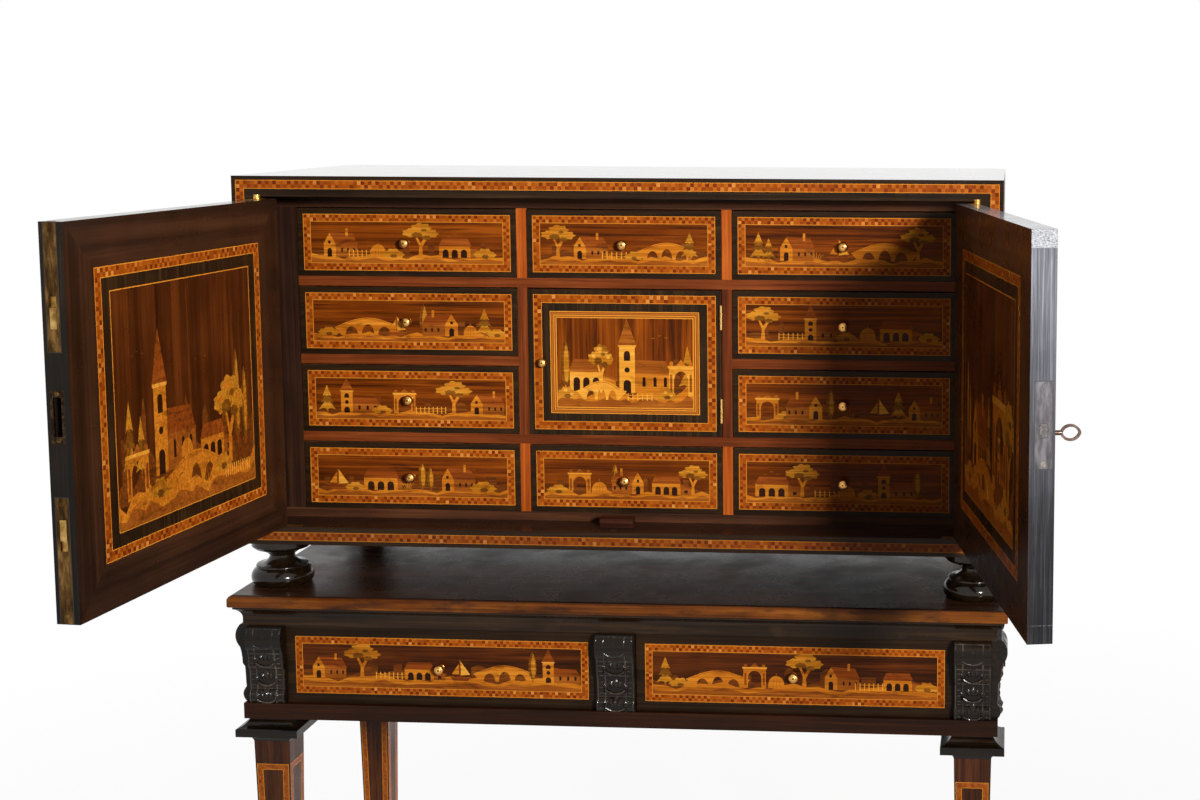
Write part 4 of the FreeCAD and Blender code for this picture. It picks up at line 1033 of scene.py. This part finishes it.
SCENES = {
    "drawer_left_1": """cottage -118 34 24, fence -82 22 7, haystack -52 16 13,
        bush -34 22 10, tree 20 30 34, barn 46 44 19, bush 96 22 11, birds 60 14 6 28""",
    "drawer_left_2": """bush -128 20 10, bridge -96 54 18, boat -30 20 20, cypress 22 9 32,
        cottage 70 36 22 0 -1, haystack 78 14 11, fir 108 18 28, bush 112 20 9""",
    "drawer_left_3": """fir -120 17 28, chapel -100 40 36, bush -54 20 9,
        gateway -24 22 24, fence 8 30 7, tree 62 30 33, cottage 86 34 20""",
    "drawer_left_4": """boat -122 22 22, bush -96 20 9, barn -70 48 21, grass -16 12 10,
        cypress 14 8 30, cypress 26 7 24, cottage 42 34 23, bush 84 26 12, birds 88 16 6 30""",
    "drawer_centre_1": """tree -92 28 33, cottage -70 34 22, fence -30 24 7, bush 2 18 9,
        bridge 28 46 17, fir 92 17 27""",
    "drawer_centre_4": """bush -112 22 10, gateway -82 22 24, haystack -50 16 12,
        cypress -16 8 31, cottage 24 32 22 0 -1, barn 36 40 19, tree 94 24 30""",
    "drawer_right_1": """fir -118 17 28, fir -104 14 22, cottage -88 34 23, grass -46 12 9,
        boat -22 22 22, bridge 20 52 18, tree 102 28 33""",
    "drawer_right_2": """tree -112 28 33, fence -90 28 7, chapel -54 38 35, bush -10 20 10,
        haystack 22 16 13, barn 50 44 20, bush 104 20 10""",
    "drawer_right_3": """gateway -122 22 24, bush -94 20 9, cottage -30 36 23 0 -1,
        cypress -18 8 31, grass 0 12 10, boat 34 22 22, fir 76 17 29, cottage 90 32 20""",
    "drawer_right_4": """barn -124 46 20, tree -58 28 33, fence -40 24 7,
        haystack -6 16 12, bush 20 20 10, chapel 48 38 35, cypress 102 8 30,
        birds -110 14 6 30""",
}
STAND_SCENES = {
    "stand_drawer_left": """cottage -182 38 24, tree -112 34 40, fence -92 34 8,
        barn -52 46 20, boat 12 24 24, bridge 54 56 19, cypress 128 9 36, chapel 142 42 38""",
    "stand_drawer_right": """fir -178 20 33, bush -172 24 11, bridge -140 56 19,
        gateway -70 25 27, haystack -36 18 14, tree 14 34 40, cottage 42 38 25, fence 84 30 8,
        barn 122 44 20, bush 166 26 12""",
}
SMALL_DOOR_SCENE = """cypress -84 12 66 4, barn -78 58 40 4, fir 88 22 58 4,
    chapel -8 66 96 2, bridge -58 44 24 -8, gateway 62 30 44 -2, tree -34 26 60 2,
    bush 46 24 14 -6, bush -96 26 16 -6, fence 4 30 9 -9, birds 40 18 7 78"""
DOOR_SCENES = {
    "left": """fir -132 30 92 30, fir -108 26 74 26, cypress 118 17 128 24,
        cypress 138 15 104 22, chapel -78 92 178 22, barn 26 78 46 20, tree 98 62 112 6,
        gateway -140 46 62 4, bridge -40 104 44 -6, bush 60 40 24 0, bush -92 44 26 -4,
        grass 30 20 16 -14, fence 84 60 15 -12, haystack -20 26 22 34, birds 20 26 10 150,
        birds -120 24 9 172""",
    "right": """cypress -138 17 132 26, cypress -120 14 102 22, gateway 34 84 128 16,
        cottage -100 96 84 18, tree 132 62 128 6, bridge -80 110 46 -8, fir 8 30 96 24,
        bush 92 44 26 0, bush -140 44 26 -4, boat -22 40 44 -18, fence 50 60 15 -14,
        chapel 66 50 84 30, birds -60 26 10 160""",
}
NEST_MARGIN, SMALL_DOOR_MARGIN = 18.8, 39.8
RIGHTWARDS = (1, 0, 0)

for number, (node, scenery) in enumerate(SCENES.items()):
    middle, half_x, half_z = front_of(node)
    lay_picture("picture_" + node[7:], node, middle, RIGHTWARDS, half_x - NEST_MARGIN,
                half_z - NEST_MARGIN, scenery, 13.0, number + 1, 1.4)
for number, (node, scenery) in enumerate(STAND_SCENES.items()):
    (x, y, z), _, _ = front_of(node)
    lay_picture("picture_" + node, node, (x, y, z - 0.0002), RIGHTWARDS, 195.4, 30.0, scenery,
                19.0, number + 21, 1.24)
middle, half_x, half_z = front_of("small_door")
lay_picture("picture_small_door", "small_door", middle, RIGHTWARDS, half_x - SMALL_DOOR_MARGIN,
            half_z - SMALL_DOOR_MARGIN, SMALL_DOOR_SCENE, 30.0, 31, 1.12, True)
for side, (pivot, turn, way) in DOORS.items():
    along = way * (DOOR_NEAR + DOOR_FAR) / 2000
    spot = Matrix.Rotation(turn, 3, "Z") @ Vector((along, DOOR_THICK / 1000, 0))
    lay_picture("picture_door_" + side, side + "_door",
                (pivot[0] + spot.x, pivot[1] + spot.y, (door_foot + door_top) / 2),
                (-math.cos(turn), -math.sin(turn), 0), 158.0, 140.0, DOOR_SCENES[side], 44.0,
                41 + way)


# Carving on the corbels: ribs, a stack of leaves between them, swags, drops, notches and bands.
# Their fall from foot to head: how far the face stands out and how high, in shares
CORBEL_FALL = [(0.36, 0.0), (0.52, 0.04), (0.60, 0.10), (0.52, 0.15), (0.36, 0.185),
               (0.39, 0.24), (0.40, 0.34), (0.43, 0.45), (0.58, 0.49), (0.575, 0.56),
               (0.61, 0.63), (0.72, 0.70), (0.86, 0.77), (0.94, 0.86), (0.86, 0.94),
               (0.62, 1.0)]
CORBEL_OUT, CORBEL_HIGH = 21.5, 110.5
RIB = 0.27
corbel_low, corbel_high = (corner.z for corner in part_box("corbels_front"))
carved_black = black("carving_black", "Z", (0.16, 0.3), 1.2, 0.1, JET, 0.2)
# the beads are made in the paler black, a painted highlight
carved_highlight = black("carving_highlight", "Z", (0.2, 0.36), 1.2, 0.1, BEAD_HIGHLIGHT, 0.2)


def corbel_face(up):
    """How far the corbel's face stands out at a share of its height, in millimetres."""
    for (out_a, up_a), (out_b, up_b) in zip(CORBEL_FALL, CORBEL_FALL[1:]):
        if up <= up_b:
            return CORBEL_OUT * (out_a + (out_b - out_a) * (up - up_a) / (up_b - up_a))
    return CORBEL_OUT * CORBEL_FALL[-1][0]


def corbel_point(across, up, proud):
    """A point on the corbel as it is carved, facing -Y about the middle of its width."""
    out = min(CORBEL_OUT - 0.9, corbel_face(up) + proud)
    return (across / 1000, -out / 1000, corbel_low + (corbel_high - corbel_low) * up)


def bead(name, radius, points):
    """A round bead along a line on the corbel, made solid, in the paler black of its painted
    highlight.
    """
    line = bpy.data.curves.new(name, "CURVE")
    line.materials.append(carved_highlight)
    line.dimensions = "3D"
    line.bevel_depth = radius
    line.bevel_resolution = 2
    line.use_fill_caps = True
    spline_of(line, [corbel_point(*point) for point in points])
    return placed(name, line)


def leaf(name, across, up, wide, high, proud, lean=0.0):
    """A pointed leaf with a ridge down its middle, bowed over the corbel's face."""
    rows = 6
    verts, faces = [], []
    for n in range(rows + 1):
        share = n / rows
        half = wide / 2 * math.sin(math.pi * (0.12 + 0.88 * share)) ** 0.7 if share < 1 else 0.02
        level = min(1.0, max(0.0, up + (share - 0.5) * high / CORBEL_HIGH))
        swell = proud * math.sin(math.pi * min(1.0, share + 0.12))
        for k, lift in ((-1, 0.1), (-0.5, 0.6), (0, 1.0), (0.5, 0.6), (1, 0.1)):
            verts.append(corbel_point(across + lean * share + k * half, level, swell * lift))
    for n in range(rows):
        for k in range(4):
            a = n * 5 + k
            faces.append((a, a + 1, a + 6, a + 5))
    sheet = bpy.data.meshes.new(name)
    sheet.from_pydata(verts, [], faces)
    sheet.materials.append(carved_black)
    made = placed(name, sheet)
    thick = made.modifiers.new("thickness", "SOLIDIFY")
    thick.thickness = 0.0014
    thick.offset = 0
    return made


def carve_corbel(name, width):
    """All the carving of one corbel, joined, about the middle of its width."""
    made = []
    for across, radius, proud in (
        (-RIB, 0.0012, 0.2), (RIB, 0.0012, 0.2), (-0.46, 0.0009, -0.1), (0.46, 0.0009, -0.1)
    ):
        rib = [(across * width, 0.02 + 0.96 * n / 40, proud) for n in range(41)]
        made.append(bead(name, radius, rib))
    # leaves in threes on the ribs, with a swag and a drop between each pair
    for up, proud in ((0.09, 3.0), (0.31, 3.0), (0.56, 3.0), (0.80, 1.6)):
        for way in (-1, 1):
            for lean in (-3.4, 0.0, 3.4):
                across = way * RIB * width - lean * 0.3
                made.append(leaf(name, across, up, 3.4, 12, proud, lean))
        swag = [
            (RIB * width * k / 5, max(0.02, up - 0.02 - 0.055 * (1 - (k / 5) ** 2)), proud * 0.5)
            for k in range(-5, 6)
        ]
        made.append(bead(name, 0.0013, swag))
        made.append(leaf(name, 0, up + 0.07, width * 0.15, 13, proud))
        for way in (-1, 1):
            across = way * 0.09 * width
            made.append(leaf(name, across, up + 0.05, width * 0.1, 10, proud * 0.8, way * 2.0))
    for way in (-1, 1):
        for up in (0.06, 0.13, 0.24, 0.31, 0.38, 0.53, 0.60, 0.72, 0.80, 0.88):
            notch = [(way * width * (0.32 + 0.11 * k / 3), up, -0.1) for k in range(4)]
            made.append(bead(name, 0.0008, notch))
    for up in (0.195, 0.47, 0.66, 0.975):
        band = [(width * (-0.47 + 0.94 * k / 4), up, 0.0) for k in range(5)]
        made.append(bead(name, 0.0010, band))
    return joined(name, made, smooth=True)


def set_carving(pattern, name, middle_x, front_y, turn):
    """A copy of the carving set on one corbel, with its own mesh."""
    piece = placed(name, pattern.data.copy())
    piece.data.transform(Matrix.Translation((middle_x, front_y, 0)) @ Matrix.Rotation(turn, 4, "Z"))
    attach(piece, "cabinet")


frieze_low, frieze_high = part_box("frieze_posts")
half_post = 0.0505 / 2
narrow = carve_corbel("carving_narrow", 50.5)
wide = carve_corbel("carving_wide", 53.0)
set_carving(wide, "carving_middle", 0, frieze_low.y, 0)
for side, way in (("left", -1), ("right", 1)):
    set_carving(narrow, "carving_front_" + side, way * (frieze_high.x - half_post), frieze_low.y, 0)
    for end, level in (("front", frieze_low.y + half_post), ("back", frieze_high.y - half_post)):
        set_carving(narrow, "carving_%s_%s_side" % (end, side), way * frieze_high.x, level,
                    way * math.pi / 2)
for pattern in (narrow, wide):
    bpy.data.objects.remove(pattern)


# Slotted screws in the plates let into the doors' closing edges
def rim(start, end, steps, flip=1):
    """Part of a screw's rim, in shares of its radius."""
    return [(u, v * flip) for u, v in arc(0, 0, 1, 1, start, end, steps)]


def screw(name, side, up, radius, slant, finish):
    """A countersunk head with its slot, flush on an edge that faces along the door."""
    pivot, turn, way = DOORS[side]
    body = side + "_door"
    spin = Matrix.Rotation(turn, 3, "Z")
    out = spin @ Vector((way, 0, 0))
    along = spin @ Vector((0, 1, 0))
    centre = spin @ Vector((way * DOOR_FAR / 1000, PLATE_MIDDLE / 1000, 0))
    centre += Vector((*pivot, up))
    lean = math.radians(slant)
    verts, faces = [], []

    def slab(outline, low, high, taper):
        """A flat piece of the head between two heights, drawn in shares of its radius."""
        count, start = len(outline), len(verts)
        for size, height in ((1, low), (taper, high)):
            for u, v in outline:
                a = (u * math.cos(lean) - v * math.sin(lean)) * size * radius
                b = (u * math.sin(lean) + v * math.cos(lean)) * size * radius
                verts.append(centre + along * a + Vector((0, 0, b)) + out * height)
        under = list(range(start, start + count))
        over = [n + count for n in under]
        faces.append(over)
        faces.append(under[::-1])
        for n in range(count):
            m = (n + 1) % count
            faces.append((under[n], under[m], over[m], over[n]))

    slab(rim(0, 342, 19), -0.0002, 0.00008, 0.98)
    slab(rim(10, 170, 9), 0.00008, 0.00032, 0.92)
    slab(rim(10, 170, 9, -1)[::-1], 0.00008, 0.00032, 0.92)
    sheet = bpy.data.meshes.new(name)
    sheet.from_pydata(verts, [], faces)
    head = placed(name, sheet)
    bpy.context.view_layer.objects.active = head
    head.select_set(True)
    bpy.ops.object.mode_set(mode="EDIT")
    bpy.ops.mesh.select_all(action="SELECT")
    bpy.ops.mesh.normals_make_consistent(inside=False)
    bpy.ops.object.mode_set(mode="OBJECT")
    head.select_set(False)
    sheet.materials.append(finish)
    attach(head, body)


strike_level = lock_level - 0.006
for name, up, slant, finish in (
    ("high", lock_level + 0.0425, 20, "lock_iron"), ("low", lock_level - 0.0425, 65, "screw_steel")
):
    screw("lock_screw_" + name, "right", up, 0.0032, slant, METALS[finish])
for name, up, slant in (
    ("top_1", door_top - 0.009, 15), ("top_2", door_top - 0.137, 80),
    ("foot_1", door_foot + 0.009, 40), ("foot_2", door_foot + 0.137, 110),
    ("strike_1", strike_level + 0.0262, 30), ("strike_2", strike_level - 0.0262, 95),
):
    screw("edge_screw_" + name, "left", up, 0.0027, slant, METALS["brass_dark"])


# Floor, sky, soft lamps and camera. Floor and sky are white only where they are seen
bpy.ops.mesh.primitive_plane_add(size=40, location=(0, 8, 0))
bpy.ops.object.transform_apply(location=True)
floor = bpy.context.object
floor.name = "studio_floor"
recipe = Recipe("studio_floor", scale=1.0, Roughness=0.8)
recipe.gloss("Base Color", recipe.ramp(
    recipe.noise(0.8), shades("222 222 221, 228 228 227"), (0.3, 0.7)
))
x, y, _ = recipe.apart()
away = recipe.sum("SQRT", x * x + y * y)
blend = recipe.filled("MixShader", (
    recipe.seen() * recipe.over(away, 0.7, 3.2, 0.9, 1.0),
    Reading(recipe, recipe.shader.outputs[0]),
    recipe.add("Emission", Strength=1.0),
))
recipe.feed(recipe.tree.nodes["Material Output"].inputs[0], blend)
floor.data.materials.append(recipe.finish)

world = bpy.data.worlds.new("studio")
bpy.context.scene.world = world
world.use_nodes = True
sky = Workings(world.node_tree)
backdrop = world.node_tree.nodes["Background"]
backdrop.inputs["Color"].default_value = (1, 1, 1, 1)
sky.feed(
    backdrop.inputs["Strength"], sky.add("MapRange", Value=sky.seen(), To_Min=0.02, To_Max=1.0)
)


def lamp(name, place, target, size, power, spread=180, mirrored=False):
    """A soft lamp, with a grid before it where its spread is less than half a turn."""
    bpy.ops.object.light_add(type="AREA", location=place)
    made = bpy.context.object
    made.name = name
    made.data.shape = "RECTANGLE"
    made.data.size, made.data.size_y = size
    made.data.energy = power
    made.data.spread = math.radians(spread)
    made.visible_glossy = mirrored
    aim = Vector(target) - Vector(place)
    made.rotation_euler = aim.to_track_quat("-Z", "Y").to_euler()


lamp("key_soft", (2.15, -3.45, 2.1), (-0.1, -0.2, 1.25), (0.5, 0.5), 21.5, 62, True)
lamp("fill_soft", (-0.6, -4.4, 2.3), (0, 0, 1.1), (2.2, 1.8), 1.2, 180, True)
lamp("top_soft", (0, -0.4, 3.6), (0, 0, 1.0), (2.4, 1.6), 4)
lamp("back_soft_left", (-2.7, 2.5, 2.2), (0, 0, 1.0), (1.8, 1.8), 24, 100)
lamp("back_soft_right", (2.9, 2.3, 2.0), (0, 0, 1.0), (1.8, 1.8), 22, 100)

bpy.ops.object.camera_add(location=(0.5342, -2.6042, 1.5353))
camera = bpy.context.object
camera.name = "photo_camera"
yaw, pitch, roll = -0.0612, -0.1083, 0.0037
turned = Matrix.Rotation(-yaw, 3, "Z") @ Matrix.Rotation(math.pi / 2 + pitch, 3, "X")
camera.rotation_euler = (turned @ Matrix.Rotation(roll, 3, "Z")).to_euler()
camera.data.sensor_width = 36.0
camera.data.lens = 54.09
camera.data.shift_x = -0.25
camera.data.shift_y = -100 / 1200
bpy.context.scene.camera = camera
bpy.context.scene.view_settings.view_transform = "Standard"
